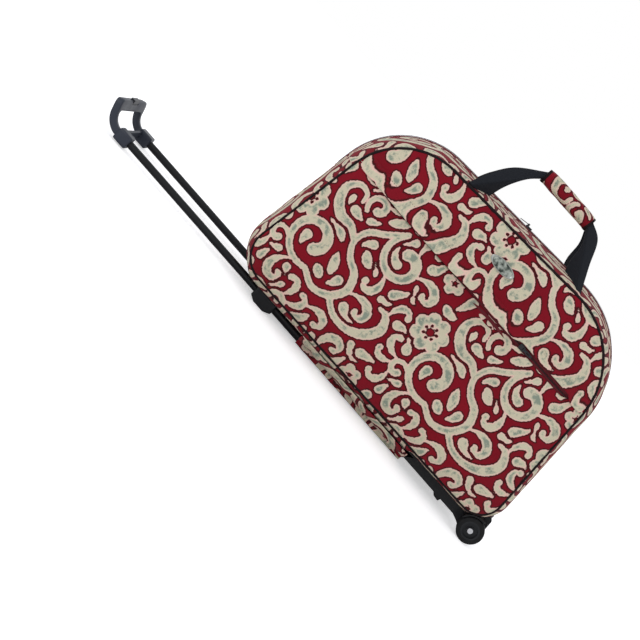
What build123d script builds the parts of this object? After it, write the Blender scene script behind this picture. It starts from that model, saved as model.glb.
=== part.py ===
"""Rolling travel bag: a soft zipped bag on a two-tube pull handle, a clamp bracket and two wheels.

X runs along the bag from the pull handle to the wheels, Y from the front panel to the back panel, Z up.
The bag lies on its base, on the bracket and the wheels, with the pull handle drawn out.
Heights and lengths inside this file are taken from the bag's own datum: the middle of its base seam.
The finished pieces stand on Z = 0, centred on the box of the whole object.
"""

import os
from math import atan, cos, radians, sin

from build123d import *

os.makedirs("parts", exist_ok=True)

# The soft bag
seam_y = 100.0
handle_end_x = -270.0
base_length = 543.0
base_rise = 6.0
top_height = 328.4
top_slope = 0.057
handle_end_lean = 0.083
wheel_end_lean = 0.158
base_handle_radius = 45.0
base_wheel_radius = 36.0
top_handle_radius = 110.0
top_wheel_radius = 130.0
least_radius = 14.0
end_puff = 23.0
top_puff = 12.0
base_puff = 16.0
base_flat = 14.0
panel_puff = 8.0
crown_power = 2.4
panel_flat_inset = 60.0
piping_radius = 2.2
seam_turn = 0.5

# Front pocket, its lip and its zip
zip_line = 227.0
zip_gap = 4.5
zip_tape_width = 17.0
zip_tape_stand = 1.5
coil_width = 3.4
coil_height = 1.3
pocket_stand = 5.0
lip_edge = 231.6
lip_depth = 15.0
lip_stand = 6.4
lip_cloth = 1.2

# Main zip along the top of the gusset
main_tape_width = 28.0
main_tape_thickness = 1.2
main_coil_width = 4.4
main_coil_height = 1.8
main_zip_end_height = 185.0
slider_x = -12.0

# Carry straps and their padded wrap
strap_thickness = 2.4
strap_root_y = 95.0
strap_top_y = 5.0
strap_root_height = 324.0
strap_top_height = 419.0
strap_left_outer = ((-123.0, 0.0), (-113.0, 0.295), (-93.0, 0.653))
strap_left_inner = ((-89.0, 0.0), (-83.0, 0.358), (-70.0, 0.674))
strap_right_outer = ((68.0, 0.863), (86.0, 0.505), (109.0, 0.074))
strap_right_inner = ((57.0, 0.632), (63.0, 0.337), (75.0, 0.074))
strap_low_share = 0.874
wrap_start = -54.0
wrap_length = 97.0
wrap_height = 25.0
wrap_width = 31.0

# Badge
badge_length = 45.0
badge_height = 18.0
badge_stand = 2.2
badge_line = 282.0

# Pull handle
tube_spacing = 110.0
tube_z = -22.0
inner_radius = 6.0
inner_wall = 1.0
outer_radius = 7.3
outer_wall = 1.0
travel = 235.0
fit = 0.05
clearance = 0.3
outer_end = 112.0
guide_length = 10.0
guide_wall = 1.6
plug_length = 26.0
tube_overlap = 85.0
lock_hole_radius = 2.5

# Grip of the pull handle
grip_collar_end = -506.0
grip_collar_length = 22.0
grip_collar_height = 21.0
grip_collar_width = 22.0
grip_bend_radius = 30.0
grip_bend = 70.0
grip_plate = 14.0
grip_bar_radius = 10.0
grip_bar_half = 8.0
grip_bar_round = 5.0
grip_bar_reach = 11.0
finger_gap_width = 82.0
finger_gap_length = 27.0
button_length = 30.0
button_width = 8.0
button_height = 8.0
button_stand = 2.4
spring_radius = 2.6
spring_wire = 0.35
spring_turns = 4

# Bracket on the base
bracket_start = -214.0
bracket_length = 42.0
bracket_margin = 18.0
bracket_foot = 20.0
bracket_end_rise = 5.5
screw_radius = 2.0
screw_head_radius = 3.9
screw_head_height = 2.4

# Fabric sleeve over the tubes
sleeve_start = -115.0
sleeve_length = 232.0
sleeve_cloth = 1.6
sleeve_web = 3.0
sleeve_margin = 7.0
anchor_length = 20.0
anchor_depth = 8.5

# Wheels and their moulded base plate
wheel_x = 268.3
wheel_z = -13.1
wheel_radius = 21.7
wheel_width = 18.0
wheel_face = 92.0
hub_radius = 14.5
axle_radius = 3.0
axle_head_radius = 4.4
axle_head_height = 1.2
plate_gap = 2.0
plate_thickness = 4.0
plate_edge = (15.0, -7.0)
guard_wall = 2.8
plate_half_width = 78.0
guard_half_width = 69.0
guard_height = 20.0
arm_thickness = 7.0
boss_radius = 12.0
mudguard_gap = 1.3
mudguard_wall = 2.2
skid_x = 189.0
skid_length = 19.0
skid_depth = 7.2
skid_width = 12.0
skid_y = 62.0

# Small gaps and stock sizes used by several pieces
seat_gap = 0.1
pocket_inset = 2.0
lip_seam = 3.0
wrap_sink = 5.5
base_seat = -base_flat - clearance
guide_radius = inner_radius + fit + guide_wall
plug_flange = 5.0
socket_floor = 3.0
leaf_inset = 1.1
leaf_width = 5.0
leaf_thickness = 0.6
leaf_length = 16.0
leaf_fold = 1.2
finger_gap_place = 0.46
finger_gap_round = 8.0
grip_round = 3.0
spring_length = 4.0
bracket_round = 4.0
screw_offsets = (-19.0, 12.5)
screw_head_sink = 4.0
screw_length = 20.0
anchor_margin = 11.0
well_inner = wheel_face - wheel_width - 2.0
well_width = 40.0
mudguard_radius = wheel_radius + mudguard_gap + mudguard_wall
well_radius = mudguard_radius + clearance
mudguard_cut = 12.0
arm_washer = 0.6
plate_narrow_x = 234.0
plate_screw_inset = (19.0, 12.0)
plate_screw_y = 48.0
arm_start = 50.0
arm_top_start = 30.0
arm_dip = (24.0, 4.0)
arm_heel = 17.0
arm_nose = (16.0, 14.0)
arm_brow = 13.0
arm_rounds = (6.0, 10.0, 10.0, 12.0, 6.0)
axle_tail = 2.5
axle_clip_thickness = 1.6
hub_recess = 4.0
hub_wall = 2.5
tyre_round = 3.0

# Zip fittings
slider_length = 11.0
main_slider_width = 9.4
pocket_slider_width = 7.6
pocket_slider_x = 107.0
slider_wall = 1.2
slider_round = 0.8
pin_x = 3.0
pin_stand = 2.0
pin_radius = 0.8
pin_wall = 0.5
bridge_half = 2.6
bridge_length = 3.2
bridge_wall = 1.4
puller_length = 16.0
puller_width = 5.4
puller_thickness = 1.1
eye_width = 3.2
eye_radius = 1.5

# Where the bag's datum stands in the finished object
wrap_end = wrap_start + wrap_length
bracket_width = tube_spacing + 2 * bracket_margin
screw_ys = [tube_spacing / 2 + offset for offset in screw_offsets]
sleeve_end = sleeve_start + sleeve_length
plate_start = sleeve_end + plate_gap
plate_screws = [
    (screw_x, side * plate_screw_y)
    for screw_x in (plate_start + plate_screw_inset[0], plate_narrow_x - plate_screw_inset[1])
    for side in (-1, 1)
]
wheel_end_x = handle_end_x + base_length
grip_reach = (
    grip_collar_end
    - grip_collar_length
    - grip_bend_radius * sin(radians(grip_bend))
    - grip_bar_reach * cos(radians(grip_bend))
    - (grip_bar_radius - grip_bar_round) * cos(radians(grip_bend))
    - (grip_bar_half - grip_bar_round) * sin(radians(grip_bend))
    - grip_bar_round
)
body_reach = wheel_x + wheel_radius
bag_x = -(grip_reach + body_reach) / 2
bag_y = (zip_tape_stand + coil_height + clearance + slider_wall + pin_stand + eye_radius) / 2
bag_z = wheel_radius - wheel_z

gusset_half = seam_y - piping_radius
crown_start = seam_y + piping_radius
panel_front = crown_start + panel_puff
tube_ys = {"front": -tube_spacing / 2, "back": tube_spacing / 2}
sides = {"front": -1, "back": 1}


def at(x, y, z):
    """A place given from the bag's datum."""
    return Location((bag_x + x, bag_y + y, bag_z + z))


def upright(y):
    """The plane across the bag at depth y, seen from the front: its own x is X and its own y is Z."""
    return Plane(origin=(bag_x, bag_y + y, bag_z), x_dir=(1, 0, 0), z_dir=(0, -1, 0))


def level(z):
    """The level plane at height z."""
    return Plane(origin=(bag_x, bag_y, bag_z + z))


def endwise(x):
    """The plane across the tubes at x, facing the wheels: its own x is Y and its own y is Z."""
    return Plane(origin=(bag_x + x, bag_y, bag_z), x_dir=(0, 1, 0), z_dir=(1, 0, 0))


def top_line(x):
    """Height of the top seam at x."""
    return top_height + top_slope * x


def side_corners(ends, top, base):
    """The four corners of the bag's side view, let out by these amounts at its ends, top and base."""
    wheel_x0 = wheel_end_x + ends
    handle_x0 = handle_end_x - ends
    wheel_top_x = (wheel_x0 - wheel_end_lean * (top_height + top - base_rise)) / (1 + wheel_end_lean * top_slope)
    handle_top_x = (handle_x0 + handle_end_lean * (top_height + top)) / (1 - handle_end_lean * top_slope)
    return [
        (handle_x0, -base),
        (wheel_x0, base_rise - base),
        (wheel_top_x, top_line(wheel_top_x) + top),
        (handle_top_x, top_line(handle_top_x) + top),
    ]


def side_radii(grow):
    """The radii of those four corners, grown by an amount but never sharp."""
    corner_radii = (base_handle_radius, base_wheel_radius, top_wheel_radius, top_handle_radius)
    return [max(radius + grow, least_radius) for radius in corner_radii]


def side_view(y, share, let_out=0.0):
    """The bag's side view at depth y: the seam outline, with a share of the gusset's puff, let out all round."""
    ends = share * end_puff + let_out
    top = share * top_puff + let_out
    base = share * base_puff + let_out
    with BuildSketch(upright(y)) as view:
        with BuildLine():
            FilletPolyline(*side_corners(ends, top, base), radius=side_radii((ends + top) / 2), close=True)
        make_face()
    return view.sketch


def gusset_share(y):
    """How much of the gusset's puff shows at depth y: none at the seams, all in the middle."""
    return (1 - (abs(y) / gusset_half) ** 2.6) ** 0.8


def barrel(let_out=0.0):
    """The gusset's barrel between its two seams, let out by an amount."""
    with BuildPart() as form:
        for fraction in (-1, -0.86, -0.5, 0, 0.5, 0.86, 1):
            y = fraction * gusset_half
            add(side_view(y, gusset_share(y), let_out))
        loft()
    return form.part


def crown(side, puff, edge_inset=0.0):
    """A panel's crown on one side of the bag: it rises from the seam to its full puff over a rounded shoulder."""
    edge = piping_radius + seam_turn + edge_inset
    with BuildPart() as form:
        for reach in (0, 0.12, 0.32, 0.62, 1):
            rise = puff * (1 - (1 - reach) ** crown_power)
            add(side_view(side * (crown_start + rise), 0, -edge - reach * (panel_flat_inset - edge)))
        loft()
    return form.part


def band(side, low, high):
    """A block over the whole length of the bag, between two heights, on one side of the bag."""
    with BuildPart() as block:
        with BuildSketch(upright(0)):
            with Locations(((handle_end_x + wheel_end_x) / 2, (low + high) / 2)):
                Rectangle(2 * base_length, high - low)
        extrude(amount=-side * 2 * seam_y)
    return block.part


front_panel = crown(-1, panel_puff)

# The closed bag: two crowned panels and the gusset round them, flat under the base board,
# with a well pressed in over each wheel
with BuildPart() as bag_body:
    add(barrel())
    extrude(side_view(crown_start, 0, -piping_radius - seam_turn), amount=2 * crown_start)
    add(front_panel)
    add(crown(1, panel_puff))
    with BuildSketch(level(-base_flat)):
        Rectangle(3 * base_length, 4 * seam_y)
    extrude(amount=-base_puff, mode=Mode.SUBTRACT)
    for side in (-1, 1):
        with BuildSketch(upright(side * well_inner)):
            with Locations((wheel_x, wheel_z)):
                Circle(well_radius)
        extrude(amount=-side * well_width, mode=Mode.SUBTRACT)
bag_body.part.label = "bag_body"
export_step(bag_body.part, "parts/bag_body.step")

# Corded piping sewn into the two seams
for name, side in sides.items():
    with BuildPart() as piping:
        with BuildLine(upright(side * seam_y)) as seam:
            FilletPolyline(*side_corners(0, 0, 0), radius=side_radii(0), close=True)
        with BuildSketch(Plane(seam.line @ 0, z_dir=seam.line % 0)):
            Circle(piping_radius)
        sweep(path=seam.line)
    piping.part.label = f"{name}_piping"
    export_step(piping.part, f"parts/{name}_piping.step")

# Front pocket: a second panel over the lower front, sewn into the seam and open at its top edge
with BuildPart() as front_pocket:
    add(crown(-1, panel_puff + pocket_stand, pocket_inset))
    add(band(-1, -base_puff, zip_line - zip_gap), mode=Mode.INTERSECT)
    add(front_panel, mode=Mode.SUBTRACT)
front_pocket.part.label = "front_pocket"
export_step(front_pocket.part, "parts/front_pocket.step")

# Pocket zip: its tape on the panel above the pocket's edge, with the coil along the zip line
tape_start = zip_line - zip_gap
with BuildPart() as pocket_zip:
    add(crown(-1, panel_puff + zip_tape_stand, pocket_inset))
    add(band(-1, tape_start, tape_start + zip_tape_width), mode=Mode.INTERSECT)
    with BuildPart(mode=Mode.PRIVATE) as coil:
        add(crown(-1, panel_puff + zip_tape_stand + coil_height, 2 * pocket_inset))
        add(band(-1, zip_line - coil_width / 2, zip_line + coil_width / 2), mode=Mode.INTERSECT)
    add(coil.part)
    add(front_panel, mode=Mode.SUBTRACT)
pocket_zip.part.label = "pocket_zip"
export_step(pocket_zip.part, "parts/pocket_zip.step")

# Fabric lip: a fold that hangs over the pocket zip, sewn down along its upper edge
with BuildPart() as pocket_lip:
    add(crown(-1, panel_puff + lip_stand, pocket_inset / 3))
    add(band(-1, lip_edge, lip_edge + lip_depth), mode=Mode.INTERSECT)
    with BuildPart(mode=Mode.PRIVATE) as lip_hollow:
        add(crown(-1, panel_puff + lip_stand - lip_cloth, pocket_inset))
        add(band(-1, lip_edge - lip_depth, lip_edge + lip_depth - lip_seam), mode=Mode.INTERSECT)
    add(lip_hollow.part, mode=Mode.SUBTRACT)
    add(front_panel, mode=Mode.SUBTRACT)
pocket_lip.part.label = "pocket_lip"
export_step(pocket_lip.part, "parts/pocket_lip.step")

# Oval badge on the upper front panel, slightly domed
with BuildPart() as badge:
    with BuildSketch(upright(-(panel_front + badge_stand))):
        with Locations((0, badge_line)):
            Ellipse(badge_length / 2, badge_height / 2)
    extrude(amount=-(badge_stand + panel_puff / 2))
    fillet(badge.faces().sort_by(Axis.Y)[0].edges(), badge_stand / 3)
    add(front_panel, mode=Mode.SUBTRACT)
badge.part.label = "badge"
export_step(badge.part, "parts/badge.step")


def rim(inner, outer, half_width):
    """A strip that follows the gusset's middle over the top of the bag, between two let-outs of its outline."""
    with BuildPart() as strip:
        extrude(side_view(half_width, 1, outer), amount=2 * half_width)
        extrude(side_view(half_width, 1, inner), amount=2 * half_width, mode=Mode.SUBTRACT)
        split(bisect_by=level(main_zip_end_height))
    return strip.part


# Main zip: tape and coil over the top of the gusset and down both ends
with BuildPart() as main_zip_tape:
    add(rim(seat_gap, seat_gap + main_tape_thickness, main_tape_width / 2))
main_zip_tape.part.label = "main_zip_tape"
export_step(main_zip_tape.part, "parts/main_zip_tape.step")

main_tape_face = seat_gap + main_tape_thickness
with BuildPart() as main_zip_coil:
    add(rim(main_tape_face, main_tape_face + main_coil_height, main_coil_width / 2))
main_zip_coil.part.label = "main_zip_coil"
export_step(main_zip_coil.part, "parts/main_zip_coil.step")

# Zip sliders: a tapered body astride the coil, with a bridge whose pin carries the puller.
# On each slider's own plane, x is the way its puller points and z stands off the tape.
zip_angle = atan(top_slope)
main_slider_plane = Plane(
    origin=(bag_x + slider_x, bag_y, bag_z + top_line(slider_x) + top_puff + main_tape_face),
    x_dir=(-cos(zip_angle), 0, -sin(zip_angle)),
    z_dir=(-sin(zip_angle), 0, cos(zip_angle)),
)
pocket_slider_plane = Plane(
    origin=(bag_x + pocket_slider_x, bag_y - panel_front - zip_tape_stand, bag_z + zip_line),
    x_dir=(1, 0, 0),
    z_dir=(0, -1, 0),
)
zip_fittings = (
    ("main", main_slider_plane, main_coil_width, main_coil_height, main_slider_width),
    ("pocket", pocket_slider_plane, coil_width, coil_height, pocket_slider_width),
)
for name, plane, tooth_width, tooth_height, slider_width in zip_fittings:
    slider_top = tooth_height + clearance + slider_wall
    pin_height = slider_top + pin_stand
    with BuildPart() as slider:
        with BuildSketch(plane.offset(clearance)) as outline:
            with BuildLine():
                Polyline(
                    (-slider_length / 2, -slider_width / 2),
                    (slider_length * 0.1, -slider_width / 2),
                    (slider_length / 2, -slider_width * 0.32),
                    (slider_length / 2, slider_width * 0.32),
                    (slider_length * 0.1, slider_width / 2),
                    (-slider_length / 2, slider_width / 2),
                    close=True,
                )
            make_face()
            fillet(outline.vertices(), slider_round)
        extrude(amount=slider_top - clearance)
        with BuildSketch(plane):
            Rectangle(2 * slider_length, tooth_width + 2 * clearance)
        extrude(amount=tooth_height + clearance, mode=Mode.SUBTRACT)
        with BuildSketch(plane.offset(slider_top)):
            with Locations((pin_x, bridge_half), (pin_x, -bridge_half)):
                RectangleRounded(bridge_length, bridge_wall, bridge_wall / 2.2)
        extrude(amount=pin_stand + pin_radius + pin_wall)
        pin_plane = Plane(plane.from_local_coords((pin_x, -bridge_half, pin_height)), x_dir=plane.x_dir,
                          z_dir=plane.y_dir)
        with BuildSketch(pin_plane):
            Circle(pin_radius)
        extrude(amount=2 * bridge_half)
    slider.part.label = f"{name}_slider"
    export_step(slider.part, f"parts/{name}_slider.step")

    # Puller: an eye round the bridge's pin and a tapered tab with a slot, resting on the tape
    droop = atan((pin_height - tooth_height - clearance - puller_thickness) / puller_length)
    tab_plane = Plane(
        plane.from_local_coords((pin_x, 0, pin_height)),
        x_dir=plane.x_dir * cos(droop) - plane.z_dir * sin(droop),
        z_dir=plane.x_dir * sin(droop) + plane.z_dir * cos(droop),
    )
    with BuildPart() as puller:
        with BuildSketch(tab_plane.offset(-puller_thickness / 2)):
            with BuildLine():
                Polyline(
                    (0, -eye_width / 2),
                    (bridge_length * 0.7, -eye_width / 2),
                    (puller_length * 0.4, -puller_width / 2),
                    (puller_length, -puller_width * 0.36),
                    (puller_length, puller_width * 0.36),
                    (puller_length * 0.4, puller_width / 2),
                    (bridge_length * 0.7, eye_width / 2),
                    (0, eye_width / 2),
                    close=True,
                )
            make_face()
            with Locations((puller_length * 0.55, 0)):
                SlotOverall(puller_length * 0.42, puller_width * 0.34, mode=Mode.SUBTRACT)
        extrude(amount=puller_thickness)
        eye_plane = Plane(tab_plane.from_local_coords((0, -eye_width / 2, 0)), x_dir=tab_plane.x_dir,
                          z_dir=tab_plane.y_dir)
        with BuildSketch(eye_plane):
            Circle(eye_radius)
        extrude(amount=eye_width)
        with BuildSketch(eye_plane):
            Circle(pin_radius + fit)
        extrude(amount=eye_width, mode=Mode.SUBTRACT)
    puller.part.label = f"{name}_puller"
    export_step(puller.part, f"parts/{name}_puller.step")

# Carry straps: flat webbing sewn in beside the seam at both ends, leaning in to meet over the zip
strap_run = strap_root_y - strap_top_y
strap_rise = strap_top_height - strap_root_height
strap_slant = (strap_run**2 + strap_rise**2) ** 0.5 / strap_rise


def along_strap(*points):
    """Points on a strap's own plane, each given by x and its share of the climb from root to top."""
    return [(x, share * (strap_top_height - strap_root_height) * strap_slant) for x, share in points]


straps = {}
for name, side in sides.items():
    strap_plane = Plane(
        origin=(bag_x, bag_y + side * strap_root_y, bag_z + strap_root_height),
        x_dir=(1, 0, 0),
        z_dir=(0, -strap_rise, -side * strap_run),
    )
    with BuildPart() as strap:
        with BuildSketch(strap_plane):
            with BuildLine():
                outer_left = Spline(*along_strap(*strap_left_outer, (wrap_start, 1.0)))
                inner_left = Spline(*along_strap(*strap_left_inner, (wrap_start, strap_low_share)))
                outer_right = Spline(*along_strap((wrap_end, 1.0), *strap_right_outer))
                inner_right = Spline(*along_strap((wrap_end, strap_low_share), *strap_right_inner))
                Line(outer_left @ 0, inner_left @ 0)
                Line(inner_left @ 1, inner_right @ 0)
                Line(inner_right @ 1, outer_right @ 1)
                Line(outer_right @ 0, outer_left @ 1)
            make_face()
        extrude(amount=strap_thickness / 2, both=True)
        add(bag_body.part, mode=Mode.SUBTRACT)
    strap.part.label = f"carry_strap_{name}"
    export_step(strap.part, f"parts/carry_strap_{name}.step")
    straps[name] = strap.part

# Padded wrap that holds the two straps together as one handle
with BuildPart() as handle_wrap:
    with BuildSketch(endwise(wrap_start)):
        with Locations((0, strap_top_height - wrap_sink)):
            RectangleRounded(wrap_width, wrap_height, wrap_height * 0.44)
    extrude(amount=wrap_length)
    add(straps["front"], mode=Mode.SUBTRACT)
    add(straps["back"], mode=Mode.SUBTRACT)
handle_wrap.part.label = "handle_wrap"
export_step(handle_wrap.part, "parts/handle_wrap.step")

# Outer tubes of the pull handle, each with a lock hole in its underside
outer_start = bracket_start + guide_length
inner_start = grip_collar_end - grip_collar_length + socket_floor
inner_end = bracket_start + tube_overlap
lock_x = inner_end - plug_length / 2
for name, tube_y in tube_ys.items():
    with BuildPart() as outer_tube:
        with BuildSketch(endwise(outer_start)):
            with Locations((tube_y, tube_z)):
                Circle(outer_radius)
                Circle(outer_radius - outer_wall, mode=Mode.SUBTRACT)
        extrude(amount=outer_end - outer_start)
        with BuildSketch(level(tube_z)):
            with Locations((lock_x, tube_y)):
                Circle(lock_hole_radius)
        extrude(amount=-2 * outer_radius, mode=Mode.SUBTRACT)
    outer_tube.part.label = f"outer_tube_{name}"
    export_step(outer_tube.part, f"parts/outer_tube_{name}.step")

    # Inner tube, from its socket in the grip to its plug inside the outer tube
    with BuildPart() as inner_tube:
        with BuildSketch(endwise(inner_start)):
            with Locations((tube_y, tube_z)):
                Circle(inner_radius)
                Circle(inner_radius - inner_wall, mode=Mode.SUBTRACT)
        extrude(amount=inner_end - inner_start)
        with BuildSketch(level(tube_z)):
            with Locations((lock_x, tube_y)):
                Circle(lock_hole_radius)
        extrude(amount=-2 * outer_radius, mode=Mode.SUBTRACT)
    inner_tube.part.label = f"inner_tube_{name}"
    export_step(inner_tube.part, f"parts/inner_tube_{name}.step")

    # Plug on the inner tube's end: a flange that runs in the outer tube and a spigot in the inner one
    with BuildPart() as tube_plug:
        with BuildSketch(endwise(inner_end)):
            with Locations((tube_y, tube_z)):
                Circle(outer_radius - outer_wall - fit)
        extrude(amount=plug_flange)
        with BuildSketch(endwise(inner_end)):
            with Locations((tube_y, tube_z)):
                Circle(inner_radius - inner_wall - seat_gap)
        extrude(amount=-plug_length / 4)
    tube_plug.part.label = f"tube_plug_{name}"
    export_step(tube_plug.part, f"parts/tube_plug_{name}.step")

    # Lock spring: a folded leaf inside the inner tube whose nose stands in both lock holes
    leaf_top = tube_z + inner_radius - inner_wall - leaf_inset
    leaf_low = tube_z - inner_radius + inner_wall + leaf_inset
    with BuildPart() as lock_spring:
        with BuildSketch(upright(tube_y + leaf_width / 2)):
            with BuildLine():
                FilletPolyline(
                    (lock_x + lock_hole_radius, leaf_low),
                    (lock_x - lock_hole_radius, leaf_low),
                    (lock_x - leaf_length, tube_z),
                    (lock_x - lock_hole_radius, leaf_top),
                    (lock_x + lock_hole_radius, leaf_top),
                    radius=leaf_fold,
                )
            trace(line_width=leaf_thickness)
        extrude(amount=leaf_width)
        with BuildSketch(level(leaf_low)):
            with Locations((lock_x, tube_y)):
                Circle(lock_hole_radius - clearance)
        extrude(amount=tube_z - outer_radius - leaf_low)
    lock_spring.part.label = f"lock_spring_{name}"
    export_step(lock_spring.part, f"parts/lock_spring_{name}.step")

    # Guide bush in the bracket's mouth, which the inner tube slides through
    with BuildPart() as tube_guide:
        with BuildSketch(endwise(bracket_start)):
            with Locations((tube_y, tube_z)):
                Circle(guide_radius)
                Circle(inner_radius + fit, mode=Mode.SUBTRACT)
        extrude(amount=guide_length)
        chamfer(tube_guide.faces().sort_by(Axis.X)[0].edges(), guide_wall / 4)
    tube_guide.part.label = f"tube_guide_{name}"
    export_step(tube_guide.part, f"parts/tube_guide_{name}.step")

# Grip: a curved moulded plate across both tubes, with a collar bar on the tubes, a finger gap
# and a round bar to pull on
bend_start_x = grip_collar_end - grip_collar_length
bend_centre = (bend_start_x, tube_z + grip_bend_radius)
bend_end = radians(grip_bend)
bar_x = bend_start_x - grip_bend_radius * sin(bend_end) - grip_bar_reach * cos(bend_end)
bar_z = bend_centre[1] - grip_bend_radius * cos(bend_end) + grip_bar_reach * sin(bend_end)
grip_half = tube_spacing / 2 + grip_collar_width / 2
gap_angle = radians(grip_bend * finger_gap_place)
gap_middle = (
    bag_x + bend_start_x - grip_bend_radius * sin(gap_angle),
    bag_y,
    bag_z + bend_centre[1] - grip_bend_radius * cos(gap_angle),
)
bar_top = (
    bar_z
    + (grip_bar_radius - grip_bar_round) * sin(bend_end)
    + (grip_bar_half - grip_bar_round) * cos(bend_end)
    + grip_bar_round
)
button_top = bar_top + button_stand
button_floor = button_top - button_height
pocket_floor = button_floor - spring_length
with BuildPart() as grip:
    with BuildSketch(upright(grip_half)):
        with Locations((grip_collar_end - grip_collar_length / 2, tube_z)):
            RectangleRounded(grip_collar_length, grip_collar_height, grip_round)
        with BuildLine():
            start_angle = 270 - grip_bend
            outside = CenterArc(bend_centre, grip_bend_radius + grip_plate / 2, start_angle, grip_bend)
            inside = CenterArc(bend_centre, grip_bend_radius - grip_plate / 2, start_angle, grip_bend)
            Line(outside @ 1, inside @ 1)
            Line(outside @ 0, inside @ 0)
        make_face()
        with Locations(Location((bar_x, bar_z, 0), (0, 0, 180 - grip_bend))):
            with Locations((-grip_bar_reach / 2, 0)):
                Rectangle(grip_bar_reach, grip_plate)
            RectangleRounded(2 * grip_bar_radius, 2 * grip_bar_half, grip_bar_round)
    extrude(amount=2 * grip_half)
    with BuildSketch(Plane(gap_middle, x_dir=(-cos(gap_angle), 0, sin(gap_angle)),
                           z_dir=(sin(gap_angle), 0, cos(gap_angle)))):
        RectangleRounded(finger_gap_length, finger_gap_width, finger_gap_round)
    extrude(amount=grip_plate, both=True, mode=Mode.SUBTRACT)
    with BuildSketch(endwise(grip_collar_end)):
        with Locations(*[(tube_y, tube_z) for tube_y in tube_ys.values()]):
            Circle(inner_radius + seat_gap)
    extrude(amount=-(grip_collar_length - socket_floor), mode=Mode.SUBTRACT)
    with BuildSketch(level(pocket_floor)):
        with Locations((bar_x, 0)):
            Rectangle(button_width + 2 * clearance, button_length + 2 * clearance)
    extrude(amount=2 * grip_bar_radius, mode=Mode.SUBTRACT)
grip.part.label = "grip"
export_step(grip.part, "parts/grip.step")

# Release button in the middle of the grip's bar, on its spring
with BuildPart() as release_button:
    with BuildSketch(level(button_floor)):
        with Locations((bar_x, 0)):
            Rectangle(button_width, button_length)
    extrude(amount=button_height)
    fillet(release_button.edges().filter_by(Axis.Z), button_width / 4)
    fillet(release_button.faces().sort_by(Axis.Z)[-1].edges(), button_stand / 3)
release_button.part.label = "release_button"
export_step(release_button.part, "parts/release_button.step")

with BuildPart() as button_spring:
    with BuildLine(Plane(origin=at(bar_x, 0, pocket_floor + spring_wire).position)) as coil_path:
        Helix(
            pitch=(spring_length - 2 * spring_wire) / spring_turns,
            height=spring_length - 2 * spring_wire,
            radius=spring_radius,
        )
    with BuildSketch(Plane(coil_path.line @ 0, z_dir=coil_path.line % 0)):
        Circle(spring_wire)
    sweep(path=coil_path.line)
button_spring.part.label = "button_spring"
export_step(button_spring.part, "parts/button_spring.step")

# Bracket: two moulded halves clamped round the tubes under the base; the lower one is the bag's foot
bracket_end = bracket_start + bracket_length
bracket_middle = (bracket_start + bracket_end) / 2
floor_z = -bag_z
bracket_low = floor_z + bracket_end_rise
with BuildPart() as bracket_saddle:
    with BuildSketch(upright(bracket_width / 2)):
        with Locations((bracket_middle, (base_seat + tube_z) / 2)):
            Rectangle(bracket_length, base_seat - tube_z)
    extrude(amount=bracket_width)
    fillet(bracket_saddle.edges().filter_by(Axis.Z), bracket_round)
with BuildPart() as bracket_clamp:
    with BuildSketch(upright(bracket_width / 2)):
        with BuildLine():
            Polyline(
                (bracket_start, tube_z),
                (bracket_start, bracket_low),
                (bracket_middle - bracket_foot / 2, floor_z),
                (bracket_middle + bracket_foot / 2, floor_z),
                (bracket_end, bracket_low),
                (bracket_end, tube_z),
                close=True,
            )
        make_face()
    extrude(amount=bracket_width)
    fillet(bracket_clamp.edges().filter_by(Axis.Z), bracket_round)
screw_places = [(bracket_middle, side * y) for side in (-1, 1) for y in screw_ys]
for half in (bracket_saddle, bracket_clamp):
    with half:
        with BuildSketch(endwise(bracket_start)):
            with Locations(*[(tube_y, tube_z) for tube_y in tube_ys.values()]):
                Circle(outer_radius + seat_gap)
        extrude(amount=bracket_length, mode=Mode.SUBTRACT)
        with BuildSketch(endwise(bracket_start)):
            with Locations(*[(tube_y, tube_z) for tube_y in tube_ys.values()]):
                Circle(guide_radius + seat_gap)
        extrude(amount=guide_length, mode=Mode.SUBTRACT)
        with BuildSketch(level(floor_z)):
            with Locations(*screw_places):
                Circle(screw_radius + seat_gap)
        extrude(amount=screw_length, mode=Mode.SUBTRACT)
with bracket_clamp:
    with BuildSketch(level(floor_z)):
        with Locations(*screw_places):
            Circle(screw_head_radius + seat_gap)
    extrude(amount=screw_head_sink, mode=Mode.SUBTRACT)
bracket_saddle.part.label = "bracket_saddle"
export_step(bracket_saddle.part, "parts/bracket_saddle.step")
bracket_clamp.part.label = "bracket_clamp"
export_step(bracket_clamp.part, "parts/bracket_clamp.step")

with BuildPart() as bracket_screws:
    with BuildSketch(level(floor_z + screw_head_sink)):
        with Locations(*screw_places):
            Circle(screw_head_radius)
    extrude(amount=-screw_head_height)
    with BuildSketch(level(floor_z + screw_head_sink)):
        with Locations(*screw_places):
            Circle(screw_radius)
    extrude(amount=screw_length - screw_head_sink)
bracket_screws.part.label = "bracket_screws"
export_step(bracket_screws.part, "parts/bracket_screws.step")

# Rear anchor: a moulded saddle over the tubes' far ends, hidden in the sleeve
anchor_end = outer_end
with BuildPart() as tube_anchor:
    with BuildSketch(endwise(anchor_end - anchor_length)):
        with Locations((0, base_seat - anchor_depth / 2)):
            Rectangle(tube_spacing + 2 * anchor_margin, anchor_depth)
        with Locations(*[(tube_y, tube_z) for tube_y in tube_ys.values()]):
            Circle(outer_radius + seat_gap, mode=Mode.SUBTRACT)
    extrude(amount=anchor_length)
tube_anchor.part.label = "tube_anchor"
export_step(tube_anchor.part, "parts/tube_anchor.step")

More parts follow.
